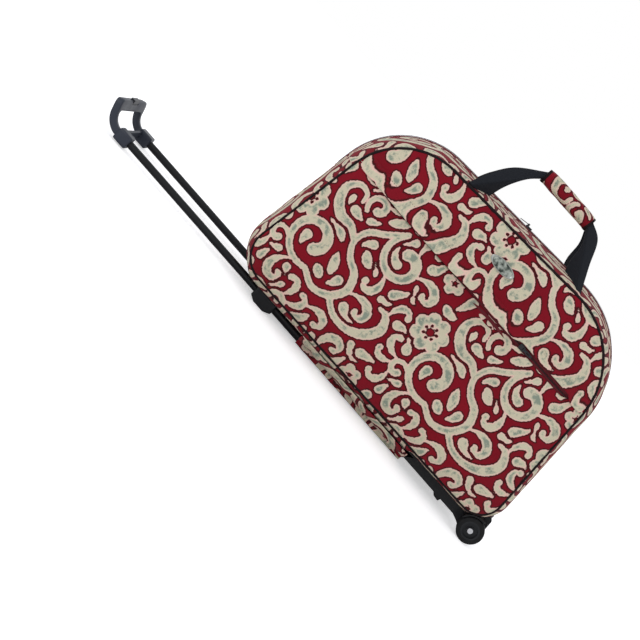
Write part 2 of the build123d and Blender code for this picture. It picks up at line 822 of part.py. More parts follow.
# Fabric sleeve sewn under the base: two tunnels round the tubes joined by a web
with BuildPart() as tube_sleeve:
    with BuildSketch(endwise(sleeve_start)):
        with Locations((0, base_seat - sleeve_web / 2)):
            Rectangle(tube_spacing + 2 * (outer_radius + sleeve_cloth + sleeve_margin), sleeve_web)
        with Locations(*[(tube_y, tube_z) for tube_y in tube_ys.values()]):
            Circle(outer_radius + seat_gap + sleeve_cloth)
    extrude(amount=sleeve_length)
    with BuildSketch(endwise(anchor_end - anchor_length - sleeve_cloth)):
        with Locations((0, base_seat - (anchor_depth + sleeve_cloth) / 2)):
            Rectangle(tube_spacing + 2 * (anchor_margin + sleeve_cloth), anchor_depth + sleeve_cloth)
    extrude(amount=anchor_length + 2 * sleeve_cloth)
    with BuildSketch(level(base_seat)):
        Rectangle(2 * base_length, 2 * seam_y)
    extrude(amount=outer_radius, mode=Mode.SUBTRACT)
    with BuildSketch(endwise(sleeve_start)):
        with Locations(*[(tube_y, tube_z) for tube_y in tube_ys.values()]):
            Circle(outer_radius + seat_gap)
    extrude(amount=outer_end - sleeve_start + seat_gap, mode=Mode.SUBTRACT)
    with BuildSketch(endwise(anchor_end - anchor_length - seat_gap)):
        with Locations((0, base_seat - (anchor_depth + seat_gap) / 2)):
            Rectangle(tube_spacing + 2 * (anchor_margin + seat_gap), anchor_depth + seat_gap)
    extrude(amount=anchor_length + 2 * seat_gap, mode=Mode.SUBTRACT)
tube_sleeve.part.label = "tube_sleeve"
export_step(tube_sleeve.part, "parts/tube_sleeve.step")

# Wheel base: a moulded plate under the base that wraps up the corner, with an arm and a mudguard
# for each wheel and two skids for stairs
plate_low = base_seat - plate_thickness
arm_outer = wheel_face - wheel_width - clearance - arm_washer


def hugging(let_out, low, well=0.0):
    """The bag's form, let out, cut level at its base and pressed in by a well of this radius over each wheel."""
    with BuildPart() as form:
        add(barrel(let_out))
        with BuildSketch(level(low)):
            Rectangle(3 * base_length, 4 * seam_y)
        extrude(amount=-2 * base_puff, mode=Mode.SUBTRACT)
        if well:
            for side in (-1, 1):
                with BuildSketch(upright(side * well_inner)):
                    with Locations((wheel_x, wheel_z)):
                        Circle(well)
                extrude(amount=-side * well_width, mode=Mode.SUBTRACT)
    return form.part


bag_clear = hugging(clearance, base_seat, mudguard_radius)
with BuildPart() as wheel_base:
    add(hugging(clearance + guard_wall, plate_low))
    with BuildPart(mode=Mode.PRIVATE) as plate_reach:
        with BuildSketch(level(2 * plate_low)):
            with Locations(((plate_start + plate_narrow_x) / 2, 0)):
                Rectangle(plate_narrow_x - plate_start, 2 * plate_half_width)
            with Locations((plate_narrow_x + base_length / 2 - clearance, 0)):
                Rectangle(base_length, 2 * guard_half_width)
        extrude(amount=guard_height - 2 * plate_low)
    add(plate_reach.part, mode=Mode.INTERSECT)
    with BuildSketch(upright(plate_half_width)):
        with BuildLine():
            Polyline(
                (plate_start, plate_low),
                (plate_start + plate_edge[0], plate_edge[1]),
                (plate_start + plate_edge[0], 0),
                (plate_narrow_x, 0),
                (plate_narrow_x, plate_low),
                close=True,
            )
        make_face()
    extrude(amount=2 * plate_half_width)
    for side in (-1, 1):
        with BuildSketch(upright(side * arm_outer)):
            with BuildLine():
                FilletPolyline(
                    (wheel_x - arm_start, base_seat),
                    (wheel_x - arm_dip[0], plate_low - arm_dip[1]),
                    (wheel_x - arm_heel, wheel_z - boss_radius),
                    (wheel_x + boss_radius, wheel_z - boss_radius),
                    (wheel_x + arm_nose[0], wheel_z + arm_nose[1]),
                    (wheel_x + arm_brow, guard_height),
                    (wheel_x - arm_top_start, guard_height),
                    radius=arm_rounds,
                )
                Line((wheel_x - arm_top_start, guard_height), (wheel_x - arm_start, base_seat))
            make_face()
        extrude(amount=side * arm_thickness)
        with BuildSketch(upright(side * arm_outer)) as mudguard:
            with Locations((wheel_x, wheel_z)):
                Circle(mudguard_radius)
                Circle(mudguard_radius - mudguard_wall, mode=Mode.SUBTRACT)
            with Locations((wheel_x, wheel_z - mudguard_radius)):
                Rectangle(3 * mudguard_radius, 2 * mudguard_radius + mudguard_cut, mode=Mode.SUBTRACT)
            with Locations((wheel_x + mudguard_radius, wheel_z)):
                Rectangle(2 * mudguard_radius - mudguard_cut, 3 * mudguard_radius, mode=Mode.SUBTRACT)
        extrude(amount=-side * (wheel_face - arm_outer + mudguard_gap))
        with BuildSketch(upright(side * (skid_y - skid_width / 2))):
            with BuildLine():
                Polyline(
                    (skid_x, 0),
                    (skid_x, plate_low),
                    (skid_x + skid_length * 0.4, plate_low - skid_depth + 1),
                    (skid_x + skid_length * 0.9, plate_low - skid_depth),
                    (skid_x + skid_length, plate_low),
                    (skid_x + skid_length, 0),
                    close=True,
                )
            make_face()
        extrude(amount=-side * skid_width)
    add(bag_clear, mode=Mode.SUBTRACT)
    for side in (-1, 1):
        with BuildSketch(upright(side * (arm_outer - arm_thickness))):
            with Locations((wheel_x, wheel_z)):
                Circle(axle_radius + seat_gap)
        extrude(amount=-side * arm_thickness, mode=Mode.SUBTRACT)
    with BuildSketch(level(plate_low)):
        with Locations(*plate_screws):
            Circle(screw_radius + seat_gap)
    extrude(amount=plate_thickness, mode=Mode.SUBTRACT)
wheel_base.part.label = "wheel_base"
export_step(wheel_base.part, "parts/wheel_base.step")

with BuildPart() as base_screws:
    with BuildSketch(level(plate_low)):
        with Locations(*plate_screws):
            Circle(screw_head_radius)
    extrude(amount=-screw_head_height)
    fillet(base_screws.faces().filter_by(Axis.Z).group_by(Axis.Z)[0].edges(), screw_head_height / 2)
    with BuildSketch(level(plate_low)):
        with Locations(*plate_screws):
            Circle(screw_radius)
    extrude(amount=plate_thickness)
base_screws.part.label = "base_screws"
export_step(base_screws.part, "parts/base_screws.step")

# Each wheel: a hub with a soft tyre on a riveted axle, held by a clip behind the arm
for name, side in sides.items():
    with BuildPart() as axle:
        with BuildSketch(upright(side * (arm_outer - arm_thickness - axle_tail))):
            with Locations((wheel_x, wheel_z)):
                Circle(axle_radius)
        extrude(amount=-side * (wheel_face + clearance - arm_outer + arm_thickness + axle_tail))
        with BuildSketch(upright(side * (wheel_face + clearance))):
            with Locations((wheel_x, wheel_z)):
                Circle(axle_head_radius)
        extrude(amount=-side * axle_head_height)
        head_face = axle.faces().sort_by(Axis.Y)[0 if side < 0 else -1]
        fillet(head_face.edges(), axle_head_height / 2)
    axle.part.label = f"axle_{name}"
    export_step(axle.part, f"parts/axle_{name}.step")

    with BuildPart() as axle_clip:
        with BuildSketch(upright(side * (arm_outer - arm_thickness))):
            with Locations((wheel_x, wheel_z)):
                Circle(axle_head_radius * 1.4)
                Circle(axle_radius + fit, mode=Mode.SUBTRACT)
        extrude(amount=side * axle_clip_thickness)
    axle_clip.part.label = f"axle_clip_{name}"
    export_step(axle_clip.part, f"parts/axle_clip_{name}.step")

    with BuildPart() as wheel_hub:
        with BuildSketch(upright(side * (wheel_face - wheel_width))):
            with Locations((wheel_x, wheel_z)):
                Circle(hub_radius)
        extrude(amount=-side * wheel_width)
        for face_y in (wheel_face - wheel_width, wheel_face - hub_recess):
            with BuildSketch(upright(side * face_y)):
                with Locations((wheel_x, wheel_z)):
                    Circle(hub_radius - hub_wall)
                    Circle(axle_radius + hub_wall, mode=Mode.SUBTRACT)
            extrude(amount=-side * hub_recess, mode=Mode.SUBTRACT)
        with BuildSketch(upright(side * (wheel_face - wheel_width))):
            with Locations((wheel_x, wheel_z)):
                Circle(axle_radius + fit)
        extrude(amount=-side * wheel_width, mode=Mode.SUBTRACT)
    wheel_hub.part.label = f"wheel_hub_{name}"
    export_step(wheel_hub.part, f"parts/wheel_hub_{name}.step")

    with BuildPart() as tyre:
        with BuildSketch(upright(side * (wheel_face - wheel_width))):
            with Locations((wheel_x, wheel_z)):
                Circle(wheel_radius)
                Circle(hub_radius, mode=Mode.SUBTRACT)
        extrude(amount=-side * wheel_width)
        rims = tyre.edges().filter_by(GeomType.CIRCLE).group_by(SortBy.RADIUS)[-1]
        fillet(rims, tyre_round)
    tyre.part.label = f"tyre_{name}"
    export_step(tyre.part, f"parts/tyre_{name}.step")
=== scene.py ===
"""Rolling travel bag: the looks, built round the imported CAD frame.

Lengths and places are written in millimetres from the bag's own datum, the middle of its base seam,
as a maker's drawing has them, and placed() brings them into the frame.
"""
import math

import bmesh
import bpy
import numpy as np
from mathutils import Matrix


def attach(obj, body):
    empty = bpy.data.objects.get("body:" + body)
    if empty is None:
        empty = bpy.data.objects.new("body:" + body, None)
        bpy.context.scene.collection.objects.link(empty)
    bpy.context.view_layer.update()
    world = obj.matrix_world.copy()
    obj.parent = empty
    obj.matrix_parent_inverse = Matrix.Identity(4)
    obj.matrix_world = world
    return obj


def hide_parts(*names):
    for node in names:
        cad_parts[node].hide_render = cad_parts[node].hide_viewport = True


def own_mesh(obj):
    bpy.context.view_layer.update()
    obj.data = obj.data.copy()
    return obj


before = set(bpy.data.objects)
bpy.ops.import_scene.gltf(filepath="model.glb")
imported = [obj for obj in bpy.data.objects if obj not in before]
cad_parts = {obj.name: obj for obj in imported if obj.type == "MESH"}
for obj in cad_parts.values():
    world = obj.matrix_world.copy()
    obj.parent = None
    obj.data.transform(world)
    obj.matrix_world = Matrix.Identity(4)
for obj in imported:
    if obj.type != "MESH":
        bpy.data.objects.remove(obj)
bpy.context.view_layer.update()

# --------------------
# The view: a long lens from the front and a little above, rolled so that the bag leans as it is
# pulled along.
DATUM = np.array([139.741, 3.9, 34.8])


def placed(points):
    """Millimetres from the bag's datum, carried to metres in the frame."""
    return (np.asarray(points, dtype=float) + DATUM) / 1000.0


def linked(name, data):
    """A new object with this data, in the scene."""
    made = bpy.data.objects.new(name, data)
    bpy.context.scene.collection.objects.link(made)
    return made


def posed(made, right, up, back, place):
    """Puts a camera or a lamp at a place in the frame, by its own three directions."""
    pose = np.eye(4)
    pose[:3] = np.column_stack([right, up, back, place])
    made.matrix_world = Matrix(pose.tolist())


def xyz(x, y, z):
    """Points from their three coordinates, each a number or an array."""
    return np.stack(np.broadcast_arrays(x, y, z), -1)


lens_px, picture_px = 1320.0, 640.0
roll, pitch = math.radians(48.7), math.radians(11.2)
eye = placed((-115.1, -2011.3, 407.2))
forward = np.array([0.0, math.cos(pitch), -math.sin(pitch)])
level_right = np.array([1.0, 0.0, 0.0])
level_up = np.array([0.0, math.sin(pitch), math.cos(pitch)])
view_right = math.cos(roll) * level_right + math.sin(roll) * level_up
view_up = -math.sin(roll) * level_right + math.cos(roll) * level_up
camera = linked("camera", bpy.data.cameras.new("camera"))
camera.data.lens = lens_px / picture_px * camera.data.sensor_width
camera.data.clip_end = 50.0
posed(camera, view_right, view_up, -forward, eye)
bpy.context.scene.camera = camera

# --------------------
# The room: a wide pale sheet under a white sky. The sheet is white to the eye and keeps the
# bag's soft shadow; three soft lamps shape the cloth.
def shader(name, colour, roughness):
    """A new node material with a Principled shader of this sRGB colour and roughness."""
    material = bpy.data.materials.new(name)
    material.use_nodes = True
    tree = material.node_tree
    principled = tree.nodes["Principled BSDF"]
    principled.inputs["Base Color"].default_value = linear(colour)
    principled.inputs["Roughness"].default_value = roughness
    return material, tree, principled


def linear(colour):
    """An sRGB colour, 0 to 255, as Blender's linear one."""
    part = np.array(colour) / 255.0
    return (*np.where(part <= 0.04045, part / 12.92, ((part + 0.055) / 1.055) ** 2.4), 1.0)


def node(tree, kind, *values, **settings):
    """A shader node of this kind: settings are its properties, values its first inputs, each a number,
    a colour or another node's socket."""
    made = tree.nodes.new("ShaderNode" + kind)
    for key, setting in settings.items():
        setattr(made, key, setting)
    for socket, value in zip(made.inputs, values):
        if isinstance(value, bpy.types.NodeSocket):
            tree.links.new(value, socket)
        elif value is not None:
            socket.default_value = value
    return made


def add_grid(name, points, material=None, wrap_rows=False, wrap_columns=False, flip=False, **attributes):
    """A mesh object from a grid of points in the bag's millimetres, its point attributes given as arrays."""
    rows, columns = points.shape[:2]
    index = np.arange(rows * columns).reshape(rows, columns)
    if wrap_rows:
        index = np.vstack([index, index[:1]])
    if wrap_columns:
        index = np.hstack([index, index[:, :1]])
    quads = np.stack([index[:-1, :-1], index[:-1, 1:], index[1:, 1:], index[1:, :-1]], -1).reshape(-1, 4)
    if flip:
        quads = quads[:, ::-1]
    return add_faces(name, points.reshape(-1, 3), quads, material, **attributes)


def add_faces(name, points, quads, material=None, **attributes):
    """A mesh object at the origin from points in the bag's millimetres and four-cornered faces."""
    mesh = bpy.data.meshes.new(name)
    mesh.vertices.add(len(points))
    mesh.vertices.foreach_set("co", placed(points).astype(np.float32).ravel())
    mesh.loops.add(quads.size)
    mesh.loops.foreach_set("vertex_index", np.ascontiguousarray(quads).ravel().astype(np.int32))
    mesh.polygons.add(len(quads))
    mesh.polygons.foreach_set("loop_start", np.arange(0, quads.size, 4, dtype=np.int32))
    mesh.polygons.foreach_set("use_smooth", np.ones(len(quads), dtype=bool))
    mesh.update(calc_edges=True)
    for key, values in attributes.items():
        values = np.asarray(values, dtype=np.float32).reshape(len(points), -1)
        if values.shape[1] == 1:
            mesh.attributes.new(key, "FLOAT", "POINT").data.foreach_set("value", values.ravel())
        else:
            mesh.attributes.new(key, "FLOAT_VECTOR", "POINT").data.foreach_set("vector", values.ravel())
    work = bmesh.new()
    work.from_mesh(mesh)
    bmesh.ops.remove_doubles(work, verts=work.verts, dist=2e-6)
    work.to_mesh(mesh)
    work.free()
    mesh.validate()
    if material:
        mesh.materials.append(material)
    return linked(name, mesh)


floor_half, floor_z = 9000.0, -DATUM[2]
floor_material, floor_tree, floor_shader = shader("white_floor", (238, 238, 240), 0.9)
floor_path = floor_tree.nodes.new("ShaderNodeLightPath")
floor_glow = node(floor_tree, "Math", floor_path.outputs["Is Camera Ray"], 0.5, operation="MULTIPLY")
floor_shader.inputs["Emission Color"].default_value = (1, 1, 1, 1)
floor_tree.links.new(floor_glow.outputs[0], floor_shader.inputs["Emission Strength"])
floor_points = [[(x, y, floor_z) for x in (-floor_half, floor_half)] for y in (-floor_half, floor_half)]
floor = add_grid("floor", np.array(floor_points), floor_material)

world = bpy.data.worlds.new("white_room")
bpy.context.scene.world = world
world.use_nodes = True
world_tree = world.node_tree
sky = world_tree.nodes["Background"]
sky.inputs["Color"].default_value = (0.80, 0.81, 0.83, 1)
white = node(world_tree, "Background", (1, 1, 1, 1), 1.0)
room_path = world_tree.nodes.new("ShaderNodeLightPath")
seen = node(world_tree, "Math", room_path.outputs["Is Camera Ray"], room_path.outputs["Is Transmission Ray"],
            operation="MAXIMUM")
room_mix = node(world_tree, "MixShader", seen.outputs[0], sky.outputs[0], white.outputs[0])
world_tree.links.new(room_mix.outputs[0], world_tree.nodes["World Output"].inputs["Surface"])


def unit(vectors):
    """These vectors, each brought to a length of 1."""
    return vectors / np.linalg.norm(vectors, axis=-1, keepdims=True)


def softbox(name, place, target, size, power):
    """A square area lamp at one place, facing another."""
    data = bpy.data.lights.new(name, "AREA")
    data.shape = "SQUARE"
    data.size = size
    data.energy = power
    aim = unit(np.array(place) - target)
    side = unit(np.cross((0.0, 0.0, 1.0), aim))
    posed(linked(name, data), side, np.cross(aim, side), aim, place)


lamp_target = (0.1, 0, 0.2)
softbox("key_lamp", (-1.9, -1.9, 1.0), lamp_target, 0.9, 13)
softbox("fill_lamp", (1.8, -1.6, 0.9), lamp_target, 1.6, 4)
softbox("back_lamp", (0.2, 2.2, 1.7), lamp_target, 1.6, 6)
bpy.context.scene.view_settings.view_transform = "Standard"

# --------------------
# Printed cloth: a plain-woven cotton canvas with a common scroll and leaf ornament in cream on
# dark red. field[u, v] is how deep each millimetre of the repeat lies inside a cream figure:
# max over the strokes of (half width - distance), and below zero on the red ground.
repeat, ground_gap, least_bare, widest_leaf = np.array([264.0, 208.0]), 4.4, 10.0, 7.0
side_lengths, most_figures, slow_turn, fast_turn = (84, 66, 52, 40, 30), 150, 1 / 46, 1 / 6.2
cells = np.stack(np.meshgrid(np.arange(repeat[0]), np.arange(repeat[1]), indexing="ij"), -1)
field = np.full(cells.shape[:2], -60.0)


def clear_of(discs):
    """Each cell's distance outside the nearest of these discs (u, v, radius), round the repeat's edges."""
    nearest = np.full(field.shape, 1e3)
    for some in np.array_split(discs, len(discs) // 24 + 1):
        away = np.abs(cells[None] - some[:, None, None, :2] % repeat)
        away = np.minimum(away, repeat - away)
        nearest = np.minimum(nearest, (np.hypot(away[..., 0], away[..., 1]) - some[:, None, None, 2]).min(0))
    return nearest


def smooth_line(points, steps):
    """A Catmull-Rom line through the points, with this many steps between each two."""
    points = np.array(points, dtype=float)
    ends = np.vstack([2 * points[0] - points[1], points, 2 * points[-1] - points[-2]])
    t = np.linspace(0, len(points) - 1, steps * (len(points) - 1) + 1)
    k = np.minimum(t.astype(int), len(points) - 2)
    f = (t - k)[:, None]
    a, b, c, d = ends[k], ends[k + 1], ends[k + 2], ends[k + 3]
    return 0.5 * (2 * b + (c - a) * f + (2 * a - 5 * b + 4 * c - d) * f**2 + (3 * b - a - 3 * c + d) * f**3)


def scroll(u, v, start, turns, radius, end_radius, width, end_width):
    """A spiral round (u, v) whose radius and half width run from their first to their second value."""
    k = np.linspace(0, 1, 60)
    angle = np.radians(start) + 2 * np.pi * turns * k
    reach = radius + (end_radius - radius) * k**0.8
    return xyz(u + reach * np.cos(angle), v + reach * np.sin(angle), width + (end_width - width) * k)


figures = [
    scroll(62, 74, 300, -0.95, 44, 15, 4.5, 9.5),
    scroll(176, 150, 130, 0.95, 40, 13, 4.5, 9),
    scroll(20, 40, 40, 0.8, 15, 6, 3, 5.5),
    scroll(92, 176, 240, -0.85, 18, 7, 3.5, 6.5),
    smooth_line([(85, 36, 4.5), (112, 25, 5), (138, 36, 6), (150, 60, 6.5), (140, 84, 6), (118, 96, 5),
                 (104, 116, 4.5), (108, 140, 5), (128, 158, 5), (150, 181, 4.5)], 10),
    smooth_line([(138, 36, 5), (162, 22, 5), (190, 22, 6), (214, 36, 8), (226, 58, 8), (216, 78, 5),
                 (202, 80, 3)], 10),
    smooth_line([(104, 116, 4.5), (84, 128, 6), (62, 128, 8), (44, 142, 8), (38, 162, 6), (50, 178, 4.5),
                 (66, 176, 3.5), (70, 164, 3)], 10),
]
for figure in figures:
    field = np.maximum(field, -clear_of(figure))
for u, v, petals, reach, petal, lean in ((12, 112, 7, 20, 10.5, 0.3), (246, 186, 5, 11, 7.5, 0.9)):
    turn = 2 * np.pi * np.arange(petals) / petals + lean
    way = xyz(np.cos(turn), np.sin(turn), 0)
    flower = np.vstack([(u, v, petal) + reach * way, (u, v, reach)])
    heart = np.vstack([(u, v, 0.13 * reach) + 0.5 * reach * way, (u, v, 0.34 * reach)])
    field = np.minimum(np.maximum(field, -clear_of(flower)), clear_of(heart))


def smooth_step(value):
    """0 for a value up to 0, 1 from 1 on, and 3 v^2 - 2 v^3 between."""
    value = np.clip(value, 0.0, 1.0)
    return value * value * (3 - 2 * value)


def side_scroll(root, heading, hand, length):
    """A scroll that leaves its root under a heading and turns to one hand ever faster, from 1/46 to
    1/6.2 a millimetre, lobed, and swelling to a round knob."""
    t = np.linspace(0, 1, int(length / 2.0))
    step = length / len(t)
    heading = heading + hand * np.cumsum((slow_turn + (fast_turn - slow_turn) * t**2.4) * step)
    path = root + np.cumsum(np.column_stack([np.cos(heading), np.sin(heading)]) * step, 0)
    swell = 1.7 + (1.0 + length / 22) * np.sin(np.pi * np.clip(t * 1.04, 0, 1) ** 1.4) ** 1.4
    lobes = np.abs(np.sin(np.pi * t * length / 12)) * smooth_step((t - 0.25) / 0.1)
    return np.column_stack([path, swell + 2.4 * (t > 0.94) + lobes])


def ground_at(points):
    """How far points lie from the nearest figure, to the millimetre, round the repeat's edges."""
    return -field[tuple((points[:, :2].round().astype(int) % field.shape).T)]


# side scrolls grow from each stem wherever they keep clear of the rest, then from one another
rng = np.random.default_rng(7)
growing = list(figures)
while growing and len(figures) < most_figures:
    stem = growing.pop(0)
    for k in range(4, len(stem) - 3, 4):
        heading = np.arctan2(*(stem[k + 1, :2] - stem[k - 1, :2])[::-1])
        for hand in rng.permutation([-1, 1]):
            for length in side_lengths:
                branch = side_scroll(stem[k, :2], heading + hand * 0.45, hand, length)
                free = branch[int(len(branch) * 0.1) + 5:]
                if np.all(ground_at(free) > free[:, 2] + ground_gap):
                    field = np.maximum(field, -clear_of(branch))
                    figures.append(branch)
                    growing.append(branch)
                    break
# leaves fill the widest bare places left: each walks along the middle of the bare ground, two
# millimetres a step, and thins from its head to its tip
fan = np.linspace(-0.42, 0.42, 9)
around = np.linspace(0, 2 * np.pi, 24, endpoint=False)
for leaf in range(80):
    spot = np.array(np.unravel_index(np.argmin(field), field.shape), dtype=float)
    free = ground_at(spot[None])[0]
    if free < least_bare:
        break
    rim = spot + 1.6 * free * np.column_stack([np.cos(around), np.sin(around)])
    heading, walk = around[np.argmax(ground_at(rim))], [spot]
    for step in range(int(rng.integers(9, 19))):
        tries = heading + fan
        ahead = spot + 5.0 * np.column_stack([np.cos(tries), np.sin(tries)])
        heading = tries[np.argmax(ground_at(ahead) - 1.2 * np.abs(fan))]
        spot = spot + 2.0 * np.array([np.cos(heading), np.sin(heading)])
        walk.append(spot)
    t = np.linspace(0, 1, len(walk))
    head = min((free - 4.6) * 0.85, widest_leaf)
    shape = (1 - t**1.2) ** 0.8 if leaf % 3 else np.sin(np.pi * (0.16 + 0.84 * t))
    width = np.minimum(head * shape + 0.7, ground_at(np.array(walk)) - ground_gap)
    stroke = np.column_stack([walk, width])[np.cumprod(width > 0.7) > 0]
    field = np.maximum(field, -clear_of(stroke if len(stroke) else np.array([(*walk[0], 2.0)])))


def printed(u, v):
    """The cloth attributes at the cloth's own millimetres: depth in the print, and the thread grid."""
    u, v = np.broadcast_arrays(u, v)
    au, av = np.floor(u).astype(int), np.floor(v).astype(int)
    fu, fv = u - au, v - av
    wide, high = field.shape
    corner = [[field[(au + i) % wide, (av + j) % high] for j in (0, 1)] for i in (0, 1)]
    near, far = [corner[0][j] * (1 - fu) + corner[1][j] * fu for j in (0, 1)]
    return {"depth": near * (1 - fv) + far * fv, "cloth": xyz(u, v, 0) / 1000.0}


def noise(tree, place, scale, detail=None, roughness=None):
    """A noise texture's value at a place socket, or at the Object coordinates where it is None."""
    place = place or node(tree, "TexCoord").outputs["Object"]
    return node(tree, "TexNoise", place, None, scale, detail, roughness).outputs[0]


def wave(tree, place, scale, direction):
    """A wave texture's value at a place socket, or at the Object coordinates where it is None."""
    place = place or node(tree, "TexCoord").outputs["Object"]
    return node(tree, "TexWave", place, scale, bands_direction=direction).outputs["Fac"]


def blend(tree, share, first, second):
    """A colour that goes from the first to the second as share does from 0 to 1: each is sRGB or a socket."""
    mix = node(tree, "Mix", share, data_type="RGBA")
    for socket, colour in zip(mix.inputs[6:8], (first, second)):
        if isinstance(colour, bpy.types.NodeSocket):
            tree.links.new(colour, socket)
        else:
            socket.default_value = linear(colour)
    return mix.outputs[2]


def emboss(tree, principled, height, strength, distance):
    """Gives a shader's surface this height, as a bump of this strength over a distance in metres."""
    bump = node(tree, "Bump", strength, distance)
    tree.links.new(height, bump.inputs["Height"])
    tree.links.new(bump.outputs[0], principled.inputs["Normal"])


canvas_material, tree, principled = shader("printed_canvas", (130, 28, 42), 0.86)
cloth = node(tree, "Attribute", attribute_name="cloth").outputs["Vector"]
ragged = node(tree, "Math", noise(tree, cloth, 260.0, 2.0), 3.0, -1.5, operation="MULTIPLY_ADD").outputs[0]
depth = node(tree, "Attribute", attribute_name="depth").outputs["Fac"]
depth = node(tree, "Math", ragged, depth).outputs[0]
sage = node(tree, "MapRange", noise(tree, cloth, 62.0, 5.0, 0.7), 0.47, 0.57).outputs[0]
# the ground, then by depth in the print a dark outline, a rosy rim, the cream, and sage mottling in it
colour = blend(tree, noise(tree, cloth, 9.0, 3.0), (100, 8, 22), (146, 18, 36))
for low, high, share, paint in ((-2.6, -1.2, None, (66, 14, 18)), (-0.4, 0.4, None, (230, 192, 178)),
                                (0.9, 2.0, None, (206, 198, 172)), (2.4, 4.2, sage, (128, 142, 128))):
    mask = node(tree, "MapRange", depth, low, high, interpolation_type="SMOOTHSTEP").outputs[0]
    if share:
        mask = node(tree, "Math", share, mask, operation="MULTIPLY").outputs[0]
        mask = node(tree, "Math", mask, 0.9, operation="MULTIPLY").outputs[0]
    colour = blend(tree, mask, colour, paint)
flecked = node(tree, "VectorMath", colour, operation="SCALE")
bright = node(tree, "MapRange", noise(tree, cloth, 900.0, 2.0), 0.3, 0.7, 0.90, 1.08).outputs[0]
tree.links.new(bright, flecked.inputs["Scale"])
tree.links.new(flecked.outputs[0], principled.inputs["Base Color"])
threads = [wave(tree, cloth, 330.0, direction) for direction in "XY"]
weave = node(tree, "Math", *threads, operation="MULTIPLY").outputs[0]
creased = node(tree, "Math", noise(tree, cloth, 30.0, 5.0), 9.0, weave, operation="MULTIPLY_ADD").outputs[0]
emboss(tree, principled, creased, 0.55, 0.00035)
principled.inputs["Sheen Weight"].default_value = 0.06
principled.inputs["Specular IOR Level"].default_value = 0.12

# --------------------
# Gusset: the printed band that goes all round between the two seams, full in its middle over a
# stiff base board. Its side view is four straight lines and four arcs, let out by
# (1 - (|y| / 97.8)^2.6)^0.8 of 23 mm at the ends, 12 mm at the top and 16 mm at the base.
wheel_end_x, handle_end_x, seam_top, wheel_end_rise, level_z = 273.0, -270.0, 328.4, 6.0, 215.0
wheel_lean, handle_lean, top_slope, corner_radii = 0.158, 0.083, 0.057, (45.0, 36.0, 130.0, 110.0)
seam_y, gusset_half, end_swell, top_swell, base_swell, base_depth = 100.0, 97.8, 23, 12, 16, 13.9
wheel_centre, well_radius, round_count = np.array([268.3, -13.1]), 25.7, 300


def corner_arc(corner, before, after, radius, count=40):
    """The rounded corner's arc, as points."""
    u, v = [(np.array(p) - corner) / np.linalg.norm(np.array(p) - corner) for p in (before, after)]
    half = np.arccos(u @ v) / 2
    centre = np.array(corner) + (u + v) / np.linalg.norm(u + v) * radius / np.sin(half)
    first, last = [corner + way * radius / np.tan(half) - centre for way in (u, v)]
    swing = np.pi - 2 * half
    k = np.linspace(0, 1, count)[:, None]
    return centre + (np.sin((1 - k) * swing) * first + np.sin(k * swing) * last) / np.sin(swing)


def even(points, count):
    """Points at even steps along a line."""
    length = np.r_[0, np.cumsum(np.linalg.norm(np.diff(points, axis=0), axis=1))]
    at = np.linspace(0, length[-1], count)
    return np.column_stack([np.interp(at, length, points[:, i]) for i in range(points.shape[1])])


def side_outline(ends, top, base, count):
    """The side view let out by these amounts, as a lower and an upper line between the bag's two ends."""
    wheel_x, handle_x = wheel_end_x + ends, handle_end_x - ends
    wheel_top = (wheel_x - wheel_lean * (seam_top + top - wheel_end_rise)) / (1 + wheel_lean * top_slope)
    handle_top = (handle_x + handle_lean * (seam_top + top)) / (1 - handle_lean * top_slope)
    corners = [(handle_x, -base), (wheel_x, wheel_end_rise - base),
               (wheel_top, seam_top + top_slope * wheel_top + top),
               (handle_top, seam_top + top_slope * handle_top + top)]
    radii = [max(radius + (ends + top) / 2, 14.0) for radius in corner_radii]
    arcs = [corner_arc(corners[i], corners[i - 1], corners[(i + 1) % 4], radii[i]) for i in range(4)]
    handle_end, wheel_end = [
        np.array(foot) + (np.array(head) - foot) * (level_z - foot[1]) / (head[1] - foot[1])
        for foot, head in ((corners[0], corners[3]), (corners[1], corners[2]))]
    lower = np.vstack([handle_end, arcs[0], arcs[1], wheel_end])
    upper = np.vstack([handle_end, arcs[3][::-1], arcs[2][::-1], wheel_end])
    return even(lower, count), even(upper, count)


def ripples(u, v, size, seed):
    """A low, even waviness from -1 to 1 with waves about this long: a sum of six sines, each its own way."""
    pick = np.random.default_rng(seed)
    turns, lengths, starts = pick.uniform(0, np.pi, 6), pick.uniform(0.6, 1.5, 6), pick.uniform(0, 6.28, 6)
    total = 0.0
    for turn, length, start in zip(turns, lengths, starts):
        forth = u * np.cos(turn) + v * np.sin(turn)
        total = total + np.sin(2 * np.pi * forth / (size * length) + start)
    return total / 6 * 1.6


def bell(*shares):
    """exp of minus the sum of these shares' squares: 1 at a middle, 0.37 where one share is 1."""
    return np.exp(-sum(share**2 for share in shares))


lower_seam, upper_seam = side_outline(0, 0, 0, round_count)
seam = np.vstack([lower_seam, upper_seam[-2:0:-1]])
seam_length = np.r_[0, np.cumsum(np.linalg.norm(np.diff(np.vstack([seam, seam[:1]]), axis=0), axis=1))]
across = np.r_[-seam_y, np.linspace(-gusset_half, gusset_half, 65), seam_y]
share = np.clip(1 - (np.abs(across) / gusset_half) ** 2.6, 0, 1) ** 0.8
share[[0, -1]] = -0.06
rings = []
for part in share:
    low, high = side_outline(end_swell * part, top_swell * part, base_swell * part, round_count)
    rings.append(np.vstack([low, high[-2:0:-1]]))
rings = np.array(rings)
gusset_points = xyz(rings[..., 0], across[:, None], rings[..., 1])
along = np.repeat(seam_length[None, :-1], len(across), 0)
beside = np.abs(gusset_points[..., 1])
inward = unit(xyz(2.0, 0, 165.0) - gusset_points * (1, 0, 1))
near_seam = bell((97 - beside) / 12)
free_cloth = smooth_step((gusset_points[..., 2] - 20) / 40) * smooth_step((beside - 17) / 14)
hollows = 0.9 * (1 + ripples(along, gusset_points[..., 1], 70, 3))
